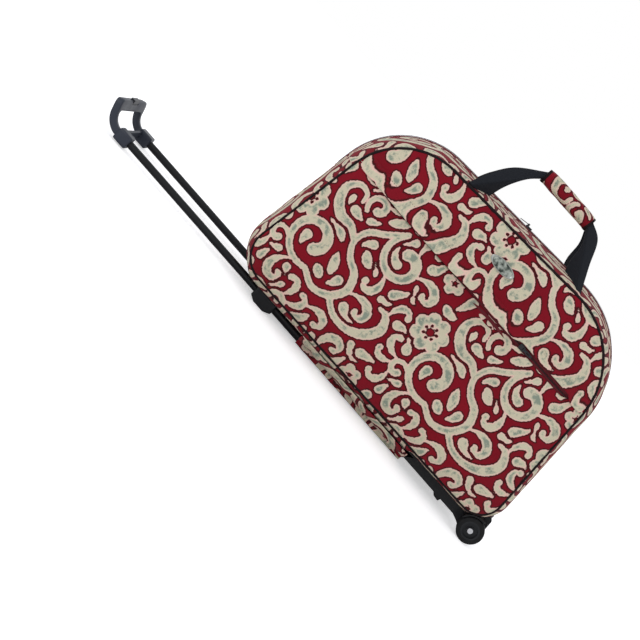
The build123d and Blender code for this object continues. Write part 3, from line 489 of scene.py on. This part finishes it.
gathers = near_seam * (1 + np.sin(along / 3.4 + 2 * ripples(along, 0, 90, 5))) * 0.9
gusset_points = gusset_points + inward * (free_cloth * (hollows + gathers))[..., None]
# between the wheel base and the handle end the base hangs fuller, down to its flat board
base_x, base_z = gusset_points[..., 0], gusset_points[..., 2]
fuller, plain = [np.clip(1 - (beside / gusset_half) ** power, 0, 1) ** root
                 for power, root in ((6, 0.6), (2.6, 0.8))]
hanging = (smooth_step((127 - base_x) / 14) * smooth_step((base_x + 262) / 30)
           * smooth_step((12 - base_z) / 10))
gusset_points[..., 2] = np.maximum(base_z - base_swell * np.maximum(fuller - plain, 0) * hanging, -base_depth)
# the cloth is pressed out of the wheels' wells, past a circle round their axle
from_wheel = gusset_points[..., [0, 2]] - wheel_centre
reach = np.linalg.norm(from_wheel, axis=-1)
needed = well_radius * smooth_step((beside - 64) / 7)
push = np.maximum(needed / np.maximum(reach, 1e-6), 1.0)
pressed_out = np.abs(from_wheel) * (-1, 1) * push[..., None]
pressed = wheel_centre + np.where((push > 1)[..., None], pressed_out, from_wheel)
gusset_points[..., 0], gusset_points[..., 2] = pressed[..., 0], pressed[..., 1]
gusset = add_grid("gusset", gusset_points, canvas_material, wrap_columns=True, flip=True,
                  **printed(along + 60, gusset_points[..., 1] + 90))
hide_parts("bag_body")
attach(gusset, "bag")

# --------------------
# Panels: the printed front and back, cut to the side view and sewn into the corded seam. Each
# rises 8 mm over a rounded shoulder, 1 - (1 - t)^2.4, t going from 0 to 1 between 2.7 and 60 mm
# inside the seam, and is puckered along the seam.
seam_roll, panel_rise, panel_sag, shoulder_end, zip_z, badge_z = 2.2, 8, 2.9, 60.0, 227, 282


def on_panel(spots):
    """The x and z of points of a panel, their distance from the seam's outline and their place along it."""
    distance, place = [], []
    flat = spots.reshape(-1, 2)
    for some in np.array_split(flat, len(flat) // 4000 + 1):
        gap = np.hypot(some[:, None, 0] - seam[None, :, 0], some[:, None, 1] - seam[None, :, 1])
        nearest = gap.argmin(1)
        distance.append(gap[np.arange(len(some)), nearest])
        place.append(seam_length[nearest])
    distance, place = [np.concatenate(values).reshape(spots.shape[:-1]) for values in (distance, place)]
    return spots[..., 0], spots[..., 1], distance, place


def shoulder(inset, start=2.7):
    """The rounded rise inside the seam, 1 - (1 - t)^2.4."""
    return 1 - (1 - np.clip((inset - start) / (shoulder_end - start), 0, 1)) ** 2.4


def zip_run(x):
    """1 over the length of the pocket zip that its slider runs along, 0 beyond."""
    return smooth_step((x + 200) / 20) * smooth_step((212 - x) / 20)


def panel_depth(x, z, inset, place, seed=11):
    """How far a panel, at first the front one, stands out from the bag's middle plane."""
    calm = 1 - zip_run(x) * bell((z - zip_z) / 20) - bell(x / 34, (z - badge_z) / 18)
    sag = panel_sag * ripples(x, z, 130, seed) * smooth_step((inset - 15) / 45) * calm
    gathers = 0.55 * np.sin(place / 3.1 + 2.5 * ripples(place, 0, 80, seed + 1)) - 0.2
    return (seam_y + seam_roll * smooth_step(inset / 2.7) + panel_rise * shoulder(inset) + sag
            + bell((inset - 7) / 8) * gathers)


def panel_grid(rows_low, rows_high):
    """A grid over the whole side view: from the lower seam to the level line to the upper seam."""
    ends_x = lower_seam[[0, -1], 0]
    line = np.column_stack([np.linspace(*ends_x, round_count), np.full(round_count, level_z)])
    low, high = [np.linspace(0, 1, rows)[:, None, None] for rows in (rows_low, rows_high)]
    return np.vstack([lower_seam + (line - lower_seam) * low, line + (upper_seam - line) * high[1:]])


for name, side, rows_low, rows_high, seed, shift in (("front_panel", -1, 24, 60, 11, (32, 4)),
                                                     ("back_panel", 1, 60, 42, 17, (70, 40))):
    x, z, inset, place = on_panel(panel_grid(rows_low, rows_high))
    points = xyz(x, side * panel_depth(x, z, inset, place, seed), z)
    panel = add_grid(name, points, canvas_material, flip=side > 0,
                     **printed(-side * x + shift[0], z + shift[1]))
    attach(panel, "bag")

# --------------------
# Front pocket: a second printed panel over the lower front, sewn into the seam, its top edge
# hemmed and gaping a little; over its zip hangs a folded printed lip.
pocket_edge, hem_back, pocket_stand, edge_drop, mouth_cave, pocket_bulge = 229.0, 2.0, 5.0, 7.3, 6.2, 5.0
lip_seam_z, lip_drop, lip_raise, lip_gape = 247.2, 5.4, 6.4, 5.4
lip_fold = np.array([(lip_seam_z, 0.1), (246.6, 1.0), (245.6, 1.8), (243.5, 2.6), (241, 3.7), (238, 4.9),
                     (235.5, 5.7), (233.4, 6.2), (232.0, 6.1), (231.6, 5.4), (231.8, 4.8), (233.4, 4.6),
                     (236, 4.2), (240, 2.9), (243.5, 1.3)])


def level_rows(heights):
    """Rows of points across the front, from seam to seam, at these heights above the level line."""
    heights, third = np.asarray(heights, dtype=float), round_count // 3
    left, right = [np.interp(heights, end[:third, 1], end[:third, 0]) for end in (upper_seam, upper_seam[::-1])]
    x = left[:, None] + (right - left)[:, None] * np.linspace(0, 1, round_count)[None]
    return np.stack([x, np.repeat(heights[:, None], round_count, 1)], -1)


face = np.vstack([panel_grid(96, 2)[:96], level_rows([217, 219, 221, 223, 225, 227, pocket_edge])])
spots = np.vstack([face, level_rows([pocket_edge + 0.9, pocket_edge, 224, 218])])
back_set = np.r_[np.zeros(len(face)), 0.9, 1.9, hem_back, hem_back][:, None]
x, z, inset, place = on_panel(spots)
z = z - zip_run(x) * edge_drop * smooth_step((z - 212) / 17)
under_lip = smooth_step((z - 196) / 30)
caved = mouth_cave * bell((x - 45) / 66) * bell((z - 210) / 15)
bulge = pocket_bulge * bell((x - 40) / 90, (z - 180) / 26)
depth = (panel_depth(x, z, inset, place) + pocket_stand * shoulder(inset, 1.0) * (1 - 0.3 * under_lip)
         + 0.9 * smooth_step(inset / 4) - caved + bulge
         + 1.5 * ripples(x, z, 120, 29) * smooth_step((inset - 10) / 50) * (1 - under_lip) - back_set)
pocket = add_grid("pocket_panel", xyz(x, -depth, z), canvas_material, **printed(x + 8, z - 30 + 2 * back_set))
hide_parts("front_pocket")
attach(pocket, "bag")

x, z, inset, place = on_panel(level_rows(lip_fold[:, 0]))
fold_z, fold_out = lip_fold[:, :1], lip_fold[:, 1:]
hang = smooth_step((247 - z) / 13)
raised = smooth_step((x - 84) / 20) * smooth_step((212 - x) / 14)
edge_z = z + hang * (ripples(x, 0, 110, 31) - lip_drop + lip_raise * raised - 2.6 * smooth_step(-x / 50))
lifted = lip_gape * zip_run(x) * (1 - 0.4 * raised) + 4.6 * bell((x - 30) / 55)
stand = (fold_out * smooth_step(inset / 9 + 0.05)
         + hang * (ripples(x, 0, 90, 37) + lifted + 0.4) * smooth_step(inset / 20))
round_fold = np.cumsum(np.r_[0, np.abs(np.diff(lip_fold[:, 1]))])[:, None] * 0.3
lip_points = xyz(x, -(panel_depth(x, z, inset, place) + stand), edge_z)
lip = add_grid("pocket_lip_cloth", lip_points, canvas_material, flip=True,
               **printed(x + 32, fold_z + 4 + round_fold))
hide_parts("pocket_lip")
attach(lip, "bag")

# --------------------
# Zips: dark red woven tape with a nylon coil. The pocket's lies level under its lip, the main one
# runs over the top of the gusset and down both ends. A coil is a flat helix,
# (a cos t, b sin t), one turn every 1.6 mm.
def frame_along(points, outward):
    """Directions along, out of and across a line of points."""
    way = unit(np.gradient(points, axis=0))
    out = unit(outward - (outward * way).sum(1, keepdims=True) * way)
    return way, out, np.cross(way, out)


def coil(name, line, outward, wide, high, wire):
    """A zip's coil along a line: a tube of a wire's radius round a flat helix of a half width and height."""
    length = np.linalg.norm(np.diff(line, axis=0), axis=1).sum()
    steps = int(length / coil_pitch) * 12
    line, outward = even(line, steps), even(outward, steps)
    way, out, cross = frame_along(line, outward)
    t = 2 * np.pi * np.arange(steps)[:, None] / 12
    heart = line + cross * wide * np.cos(t) + out * high * (np.sin(t) + 1)
    run, up, over = frame_along(heart, out)
    s = 2 * np.pi * np.arange(5)[None, :, None] / 5
    tube = heart[:, None] + wire * (np.cos(s) * up[:, None] + np.sin(s) * over[:, None])
    return add_grid(name, tube, coil_material, wrap_columns=True, flip=True)


tape_material, tree, principled = shader("zip_tape", (98, 14, 26), 0.85)
ribs = wave(tree, None, 420.0, "DIAGONAL")
emboss(tree, principled, ribs, 0.5, 0.0002)
coil_material, tree, principled = shader("zip_nylon", (44, 14, 18), 0.34)
coil_pitch, tape_stand = 1.6, 1.3

x, z, inset, place = on_panel(level_rows([216, 223, zip_z, 231, 235, 239.5]))
tape_points = xyz(x, -(panel_depth(x, z, inset, place) + tape_stand), z)
pocket_tape = add_grid("pocket_zip_tape", tape_points[:, 4:-4], tape_material)
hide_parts("pocket_zip")
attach(pocket_tape, "bag")
line = tape_points[2, 12:-12]
pocket_coil = coil("pocket_zip_coil", line, np.tile((0.0, -1.0, 0.0), (len(line), 1)), 1.3, 0.42, 0.32)
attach(pocket_coil, "bag")

low, high = side_outline(end_swell, top_swell, base_swell, 600)
ends_down = [low[(low[:, 1] > 186) & (low[:, 0] * way > 0)] for way in (-1, 1)]
top_run = even(np.vstack([ends_down[0][::-1], high[1:-1], ends_down[1][::-1]]), 320)
run_3d = xyz(top_run[:, 0], 0, top_run[:, 1])
turned = np.gradient(run_3d, axis=0)
outward = unit(xyz(-turned[:, 2], 0, turned[:, 0]))
width = np.array([-14, -13, -9, -5, -2.4, 0, 2.4, 5, 9, 13, 14.0])
raised = np.array([0.05, 1.1, 1.3, 1.25, 1.2, 1.15, 1.2, 1.25, 1.3, 1.1, 0.05])
main_tape_points = run_3d[:, None] + outward[:, None] * raised[None, :, None] + xyz(0, width, 0)[None]
main_tape = add_grid("main_zip_cloth", main_tape_points, tape_material, flip=True)
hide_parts("main_zip_tape")
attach(main_tape, "bag")
main_coil = coil("main_zip_nylon", run_3d[3:-3] + outward[3:-3] * 1.5, outward[3:-3], 1.75, 0.58, 0.36)
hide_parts("main_zip_coil")
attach(main_coil, "bag")

# --------------------
# Stitching: dark red thread along the lip's seam, one stitch of 3.2 mm every 4.4 mm, each a
# spindle of half width 0.34 sin(pi t) mm.
thread_material, tree, principled = shader("sewing_thread", (96, 16, 28), 0.7)
twist = wave(tree, None, 500.0, "DIAGONAL")
emboss(tree, principled, twist, 0.6, 0.0001)
stitch, every, half_width, stitch_z = 3.2, 4.4, 0.34, 244.6
x, z, inset, place = [values[0] for values in on_panel(level_rows([stitch_z])[:, 6:-6])]
out_by = panel_depth(x, z, inset, place) + 2.25 * smooth_step(inset / 9 + 0.05)
line = xyz(x, -out_by, z)
length = np.linalg.norm(np.diff(line, axis=0), axis=1).sum()
count = int(length / every)
t = (np.arange(count)[:, None] * every + np.linspace(0, stitch, 6)[None]) / length
line, whole = even(line, 4000), np.linspace(0, 1, 4000)
heart = np.stack([np.interp(t, whole, line[:, i]) for i in range(3)], -1)
way = heart[:, -1:] - heart[:, :1]
out = np.array([0.0, -1.0, 0.0])
over = np.cross(unit(way), out)
bow = np.sin(np.pi * np.linspace(0, 1, 6))[None, :, None]
angle = 2 * np.pi * np.arange(6)[:, None] / 6
round_out = out * np.cos(angle) + over[:, :, None] * np.sin(angle)
thick = half_width * np.maximum(bow, 0.05)[:, :, None]
rings = (heart + out * (0.30 * bow - 0.12))[:, :, None] + thick * round_out
index = np.arange(36).reshape(6, 6)
index = np.hstack([index, index[:, :1]])
quads = np.stack([index[:-1, :-1], index[1:, :-1], index[1:, 1:], index[:-1, 1:]], -1).reshape(-1, 4)
quads = np.vstack([quads, [(0, 1, 2, 3), (0, 3, 4, 5), (33, 32, 31, 30), (35, 34, 33, 30)]])
all_quads = (quads[None] + 36 * np.arange(count)[:, None, None]).reshape(-1, 4)
row = add_faces("lip_stitches", rings.reshape(-1, 3), all_quads, thread_material)
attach(row, "bag")

# --------------------
# Piping: a dark bias strip sewn round a cord in both seams, a little uneven where it was pulled
# round the corners.
piping_material, tree, principled = shader("piping_bias", (24, 12, 14), 0.8)
emboss(tree, principled, noise(tree, None, 700.0, 3.0), 0.5, 0.0003)
principled.inputs["Specular IOR Level"].default_value = 0.2
heart = xyz(seam[:, 0], 0, seam[:, 1])
ahead = unit(np.roll(heart, -1, 0) - np.roll(heart, 1, 0))
outwards = np.cross(ahead, (0.0, 1.0, 0.0))
cord_radius = 2.25 + 0.16 * ripples(seam_length[:-1], 0, 60, 41)
angle = 2 * np.pi * np.arange(12)[:, None] / 12
round_cord = np.cos(angle) * outwards[:, None] + np.sin(angle) * np.array((0, 1.0, 0))
for name, side in (("front", -1), ("back", 1)):
    ring = heart[:, None] + (0, side * seam_y, 0) + cord_radius[:, None, None] * round_cord
    piping = add_grid(f"{name}_piping_cord", ring, piping_material, wrap_rows=True, wrap_columns=True)
    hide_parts(f"{name}_piping")
    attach(piping, "bag")

# --------------------
# Carry straps: flat ribbed webbing sewn in beside the seams, climbing and leaning in to the wrap;
# both of a strap's edges are smooth lines through measured points, x against share of the climb.
webbing, tree, principled = shader("strap_webbing", (17, 21, 29), 0.75)
cloth = node(tree, "Attribute", attribute_name="cloth").outputs["Vector"]
ribs, picks = wave(tree, cloth, 150.0, "X"), wave(tree, cloth, 260.0, "Y")
height = node(tree, "Math", picks, 0.5, ribs, operation="MULTIPLY_ADD").outputs[0]
emboss(tree, principled, height, 0.7, 0.0004)
principled.inputs["Specular IOR Level"].default_value = 0.25
strap_root, strap_top, climb_length, strap_width = np.array([95.0, 324.0]), np.array([5.0, 419.0]), 130, 34.0
outer_edges = (((-123, 0.0), (-113, 0.295), (-93, 0.653), (-54, 1.0)),
               ((43, 1.0), (68, 0.863), (86, 0.505), (109, 0.074)))
inner_edges = (((-89, 0.0), (-83, 0.358), (-70, 0.674), (-54, 0.874)),
               ((43, 0.874), (57, 0.632), (63, 0.337), (75, 0.074)))
outer, inner = [np.vstack([even(smooth_line(leg, 16), 60) for leg in legs])
                for legs in (outer_edges, inner_edges)]
k = np.linspace(0, 1, 15)
sheet = outer[:, None] + (inner - outer)[:, None] * k[None, :, None]
x, climb = sheet[..., 0], sheet[..., 1]
half_thick = (1.25 + 0.25 * np.sin(np.pi * k))[:, None]
length = np.r_[0, np.cumsum(np.linalg.norm(np.diff(outer * (1, climb_length), axis=0), axis=1))]
width_at = np.concatenate([k, k[::-1]])[None] * strap_width
threads = xyz(width_at, length[:, None], 0) / 1000.0
for name, side in (("front", -1), ("back", 1)):
    y, z = [root + (top - root) * climb for root, top in zip(strap_root, strap_top)]
    y = side * np.minimum(y, 9.5 + 1.3 * np.maximum(np.abs(x + 5.5) - 46, 0))
    centre = xyz(x, y, z)
    away = np.array([0.0, side * 95.0, 90.0]) / np.hypot(95.0, 90.0)
    face, under = centre + away * half_thick, centre - away * half_thick * 0.9
    strap = add_grid(f"{name}_webbing", np.concatenate([face, under[:, ::-1]], 1), webbing, wrap_columns=True,
                     flip=side > 0, cloth=threads)
    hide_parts(f"carry_strap_{name}")
    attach(strap, "bag")

# --------------------
# Handle wrap: a padded printed sleeve round both straps, closed underneath, its ends bound in a
# dark strip. Its section is a superellipse that fills out in the middle.
wrap_start, wrap_length, wrap_half_y, wrap_half_z, wrap_z = -54.2, 97.4, 13.8, 11.4, 413.0
length_steps, round_steps, binding_z = 66, 72, 413.2
binding_section = ((-1.2, 0.96), (-1.2, 1.03), (0.2, 1.06), (3.4, 1.045), (4.2, 1.0), (3.4, 0.96))
k = np.linspace(0, 1, length_steps)
fill = (1 - np.abs(2 * k - 1) ** 6)[:, None]
angle = 2 * np.pi * np.arange(round_steps) / round_steps
unit_y, unit_z = [np.sign(part) * np.abs(part) ** 0.72 for part in (np.cos(angle), np.sin(angle))]
x = wrap_start + wrap_length * k
crease = 0.35 * ripples(x[:, None], angle[None] * 14, 26, 43) * fill
y = unit_y * (wrap_half_y + 1.9 * fill + crease)
z = 413.5 + 1.2 * fill - 0.6 + unit_z * (wrap_half_z + 1.3 * fill + crease)
first, last = [[xyz(x[end], y[end] * share, wrap_z + (z[end] - wrap_z) * share) for share in shares]
               for end, shares in ((0, (0.0, 0.7, 0.93)), (-1, (0.93, 0.7, 0.0)))]
wrap_u = np.r_[-6, -4, -2, x - x[0], 99, 101, 103][:, None] + 20
wrap_points = np.concatenate([first, xyz(x[:, None], y, z), last])
wrap = add_grid("padded_wrap", wrap_points, canvas_material, wrap_columns=True,
                **printed(wrap_u, (np.degrees(angle) * 0.27)[None] + 118))
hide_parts("handle_wrap")
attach(wrap, "bag")
for name, end, inwards in (("left", 0, 1), ("right", -1, -1)):
    rings = [xyz(x[end] + inwards * spot, y[end] * grow, binding_z + (z[end] - binding_z) * grow)
             for spot, grow in binding_section]
    binding = add_grid(f"{name}_wrap_binding", np.array(rings), piping_material, wrap_rows=True,
                       wrap_columns=True, flip=inwards < 0)
    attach(binding, "bag")

# --------------------
# Badge: a bare oval plate pressed in nickelled steel, a brushed rim raised round a mottled field,
# riveted through the upper panel. The field's mottling is painted shade and painted highlight of its relief.
badge_material, tree, principled = shader("badge_nickel", (176, 178, 172), 0.3)
principled.inputs["Metallic"].default_value = 1.0
stretched = node(tree, "Mapping", node(tree, "TexCoord").outputs["Object"], None, None, (30, 1, 900)).outputs[0]
brushed = noise(tree, stretched, 3.0)
tree.links.new(node(tree, "MapRange", brushed, 0.3, 0.7, 0.22, 0.5).outputs[0], principled.inputs["Roughness"])
field_material, tree, principled = shader("badge_relief_painted_shade", (122, 128, 120), 0.3)
principled.inputs["Metallic"].default_value = 0.9
cast = noise(tree, None, 150.0, 2.0, 0.5)
# the field's colour follows its relief's height: painted shade in the low parts, painted highlight on the high
# parts
painted_relief_shade = blend(tree, node(tree, "MapRange", cast, 0.38, 0.6).outputs[0], (64, 72, 66), (176, 182, 172))
tree.links.new(painted_relief_shade, principled.inputs["Base Color"])
emboss(tree, principled, cast, 0.8, 0.0012)
badge_half_x, badge_half_z, round_steps = 22.5, 9, 96
badge_y = panel_depth(*on_panel(np.array([[0.0, badge_z]])))[0]
angle = 2 * np.pi * np.arange(round_steps) / round_steps
for name, material, profile in (
    ("badge_rim", badge_material,
     ((1.02, -1.0), (1.02, 1.2), (1.0, 1.9), (0.95, 2.3), (0.90, 2.2), (0.865, 1.7), (0.84, 1.35))),
    ("badge_field", field_material,
     ((0.86, 1.2), (0.8, 1.5), (0.6, 2.0), (0.45, 2.3), (0.3, 2.5), (0.15, 2.6), (0.0, 2.63))),
):
    ovals = [xyz(badge_half_x * scale * np.cos(angle), -(badge_y + stand),
                 badge_z + badge_half_z * scale * np.sin(angle)) for scale, stand in profile]
    piece = add_grid(name, np.array(ovals), material, wrap_columns=True)
    if name == "badge_rim":
        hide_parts("badge")
    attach(piece, "bag")

# --------------------
# Tube sleeve: a strip of the printed cloth sewn under the base, with a tunnel over each tube and
# over the anchor at the wheel end; gathered where the tubes go in.
tube_y, tunnel_radius, tunnel_z, between_z, flat_z, anchor_z = 55.0, 9.4, -22.0, -14.3, -17.0, -25.0
sleeve_x, sleeve_y, cloth_thickness = (-115.0, 121.0), (-93.0, 93.0), 0.0009
grid_x, grid_y = np.meshgrid(np.linspace(*sleeve_x, 98), np.linspace(*sleeve_y, 120), indexing="ij")
hung = base_swell * np.clip(1 - (np.abs(grid_y) / gusset_half) ** 6, 0, 1) ** 0.6
base_line = -np.minimum(hung, base_depth)
low = np.full(grid_x.shape, flat_z)
for tube in (-tube_y, tube_y):
    away = np.abs(grid_y - tube)
    run = np.where(np.sign(tube) * (grid_y - tube) > 0, 27.0, 9.0)
    tunnel = tunnel_z - np.sqrt(np.maximum(tunnel_radius**2 - away**2, 0))
    beside = between_z - 7.7 * np.clip(1 - (away - tunnel_radius) / run, 0, 1)
    low = np.minimum(low, np.where(away < tunnel_radius, tunnel, beside))
over_anchor = (anchor_z * smooth_step((grid_x - 82) / 8) * smooth_step((122.5 - grid_x) / 3.4)
               * smooth_step((80 - np.abs(grid_y)) / 11))
edge = smooth_step((93.5 - np.abs(grid_y)) / 16)
flutter = (0.5 * (1 + ripples(grid_x, grid_y, 34, 51))
           + 1.1 * (1 + ripples(grid_x, 0.2 * grid_y, 17, 53)) * np.exp(-np.abs(np.abs(grid_y) - 78) / 13))
low = np.minimum(low, over_anchor) - flutter * 0.8
z = np.minimum((base_line - 1.0) * (1 - edge) + low * edge, base_line - 0.9)
gathered_x = grid_x + 0.8 * ripples(grid_y, 0, 40, 55) * smooth_step((-100 - grid_x) / 14)
sleeve = add_grid("sleeve_cloth", xyz(gathered_x, grid_y, z), canvas_material,
                  **printed(grid_x + 100, grid_y * 1.12 + 20))
solid = sleeve.modifiers.new("cloth_thickness", "SOLIDIFY")
solid.thickness, solid.offset = cloth_thickness, -1.0
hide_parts("tube_sleeve")
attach(sleeve, "bag")

# --------------------
# Grip: one black moulding, two collars on the tubes and a curved frame round the finger gap whose
# far side is the bar to pull on, with the button's pocket cut in it.
def grained(name, colour, roughness, grain_size, grain_height, metal=0.0, spread=0.12):
    """A finish with a fine grain: noise on Object coordinates moves its roughness, colour and surface."""
    material, tree, principled = shader(name, colour, roughness)
    worn = noise(tree, None, 22.0, 3.0)
    gloss = node(tree, "MapRange", worn, 0.3, 0.7, max(roughness - spread, 0.05), roughness + spread).outputs[0]
    tree.links.new(gloss, principled.inputs["Roughness"])
    mixed = blend(tree, worn, np.array(colour) * 0.86, np.minimum(np.array(colour) * 1.14, 255))
    tree.links.new(mixed, principled.inputs["Base Color"])
    emboss(tree, principled, noise(tree, None, 1.0 / grain_size, 4.0, 0.6), 0.6, grain_height)
    principled.inputs["Metallic"].default_value = metal
    principled.inputs["Specular IOR Level"].default_value = 0.3 if metal == 0 else 0.5
    return material


def rounded_loop(low, high, half, radius, side_steps=26, arc_steps=9):
    """A rounded rectangle's outline, low to high one way and half each side the other."""
    corners = [np.array(c, dtype=float) for c in ((low, -half), (high, -half), (high, half), (low, half))]
    arcs = [corner_arc(corners[i], corners[i - 1], corners[(i + 1) % 4], radius, arc_steps) for i in range(4)]
    runs = []
    for i in range(4):
        k = np.linspace(0, 1, side_steps)[1:-1, None]
        runs += [arcs[i], arcs[i][-1] + (arcs[(i + 1) % 4][0] - arcs[i][-1]) * k]
    return np.vstack(runs)


# the frame is a flat one, its edges rounded 3 mm, bent round an arc of 30 mm: (s, n) goes to
# (-528 - (30 + n) sin(s / 30), 8 - (30 + n) cos(s / 30)), and on in a straight line after 70 degrees
bend_x, bend_z, bend_radius, bend_angle = -528, 8, 30.0, math.radians(70)
finger_gap, outside, button_x = (3.0, 39.0, 55.5, 7.0), (-3.0, 57.6, 66.0, 9.0), -559.95
inner, outer = rounded_loop(*finger_gap), rounded_loop(*outside)
span = np.linalg.norm(outer - inner, axis=1, keepdims=True)
bar_section = [(0, 0, 0), (0, 0, 3.5), (0.3, 0, 4.8), (1.2, 0, 5.7), (3, 0, 6), (0, 0.5, 6.2),
               (-3, 1, 6), (-1.2, 1, 5.7), (-0.3, 1, 4.8), (0, 1, 3.5), (0, 1, 0)]
mirrored = [(from_inner, share, -n) for from_inner, share, n in bar_section[-2:0:-1]]
section = np.array([mirrored[-1], *bar_section, *mirrored[:-1]])
flat = inner[:, None] + (outer - inner)[:, None] * ((section[:, 0] + section[:, 1] * span) / span)[..., None]
run, n = flat[..., 0], np.broadcast_to(section[:, 2], flat.shape[:2])
turned = np.clip(run / bend_radius, 0.0, bend_angle)
beyond = np.where(run < 0, run, np.maximum(run - bend_radius * bend_angle, 0))
frame_points = xyz(bend_x - (bend_radius + n) * np.sin(turned) - beyond * np.cos(turned), flat[..., 1],
                   bend_z - (bend_radius + n) * np.cos(turned) + beyond * np.sin(turned))
frame_mesh = add_grid("grip_moulding", frame_points, wrap_rows=True, wrap_columns=True)
pocket_x, pocket_y, pocket_z = (button_x - 4.3, button_x + 4.3), (-15.3, 15.3), (9.2, 40.0)
box_corners = np.array([(a, b, c) for a in pocket_x for b in pocket_y for c in pocket_z])
box_faces = np.array([(0, 1, 3, 2), (4, 6, 7, 5), (0, 4, 5, 1), (2, 3, 7, 6), (0, 2, 6, 4), (1, 5, 7, 3)])
cutter = add_faces("cutter", box_corners, box_faces)
cut = frame_mesh.modifiers.new("button_pocket", "BOOLEAN")
cut.object, cut.operation, cut.solver = cutter, "DIFFERENCE", "EXACT"
bpy.context.view_layer.update()
finished = bpy.data.meshes.new_from_object(frame_mesh.evaluated_get(bpy.context.evaluated_depsgraph_get()))
frame_mesh.modifiers.clear()
frame_mesh.data = finished
bpy.data.objects.remove(cutter)


def rounded_block(name, x_range, y_range, z_range, radius):
    """A closed block along x whose section is a rounded rectangle, its ends rounded over."""
    middle = np.array([np.mean(y_range), np.mean(z_range)])
    half = np.array([np.ptp(y_range), np.ptp(z_range)]) / 2
    loop = rounded_loop(-half[0], half[0], half[1], radius * 1.5, 8, 7)
    rings = []
    steps = ((0, half.min() - 0.01), (0, radius), (radius * 0.3, radius * 0.3), (radius, 0))
    for x, inset in ([(x_range[0] + step, inset) for step, inset in steps]
                     + [(x_range[1] - step, inset) for step, inset in reversed(steps)]):
        ring = middle + loop * (half - inset) / half
        rings.append(xyz(x, *ring.T))
    ends = [np.tile((x, *middle), (len(loop), 1)) for x in x_range]
    return add_grid(name, np.array([ends[0], *rings, ends[1]]), wrap_columns=True, flip=True)


grip_material = grained("grip_moulding", (46, 50, 60), 0.4, 0.0007, 0.0001)
frame_mesh.data.materials.clear()
collar_x, collar_z, collar_half_y, collar_edge = (-531.0, -506.0), (-32.5, -11.5), 11, 2.2
grip_pieces = [frame_mesh]
for name, side in (("front", -1), ("back", 1)):
    collar_y = (side * tube_y - collar_half_y, side * tube_y + collar_half_y)
    grip_pieces.append(rounded_block(f"grip_collar_{name}", collar_x, collar_y, collar_z, collar_edge))
for piece in grip_pieces:
    piece.data.materials.append(grip_material)
    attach(piece, "trolley")
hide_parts("grip")

# --------------------
# Springs: blued steel copies of the CAD springs, riding on the trolley and kept at their rest shape. On the bag
# the grip's coil shortens from 4 mm as the button goes 3 mm down on it, and each tube's bent leaf is pushed in,
# with its pin, by the outer tube as the handle goes home.
spring_material = grained("blued_spring", (120, 122, 128), 0.35, 0.0005, 0.00002, 1.0)
for node_name, joint, foot, keep in (("button_spring", "release_press", (-560.0, 0.0, 9.2), 0.24),
                                     ("lock_spring_front", "trolley_slide", (-148.0, -tube_y, -17.8), 0.84),
                                     ("lock_spring_back", "trolley_slide", (-148.0, tube_y, -17.8), 0.84)):
    cad_spring = bpy.data.objects[node_name]
    shape = cad_spring.data.copy()
    shape.transform(cad_spring.matrix_world)
    spring = linked(f"{node_name}_steel", shape)
    shape.materials.clear()
    shape.materials.append(spring_material)
    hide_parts(node_name)
    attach(spring, "trolley")
    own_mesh(spring)

# --------------------
# Hard parts: their CAD shapes stay. Black lacquered steel tubes, grained black mouldings, rubber
# tyres, gunmetal zip fittings, bright axle rivets and screws.
finishes = (
    (grained("lacquered_tube", (5, 7, 11), 0.4, 0.0006, 0.00004, spread=0.08),
     ["outer_tube", "inner_tube"], []),
    (grained("black_moulding", (13, 15, 18), 0.5, 0.0008, 0.00012), ["tube_guide", "tube_plug"],
     ["wheel_base", "bracket_saddle", "bracket_clamp", "tube_anchor"]),
    (grained("button_moulding", (30, 32, 36), 0.42, 0.0008, 0.00008), [], ["release_button"]),
    (grained("hub_moulding", (26, 28, 31), 0.45, 0.0008, 0.0001), ["wheel_hub"], []),
    (grained("tyre_rubber", (12, 13, 14), 0.7, 0.0009, 0.00016), ["tyre"], []),
    (grained("gunmetal_fittings", (62, 62, 64), 0.32, 0.0005, 0.00003, 1.0), [],
     ["main_slider", "main_puller", "pocket_slider", "pocket_puller"]),
    (grained("bright_steel", (205, 206, 208), 0.22, 0.0005, 0.00002, 1.0), ["axle", "axle_clip"],
     ["base_screws", "bracket_screws"]),
)
for material, pairs, singles in finishes:
    for name in singles + [f"{pair}_{end}" for pair in pairs for end in ("front", "back")]:
        bpy.data.objects[name].material_slots[0].material = material
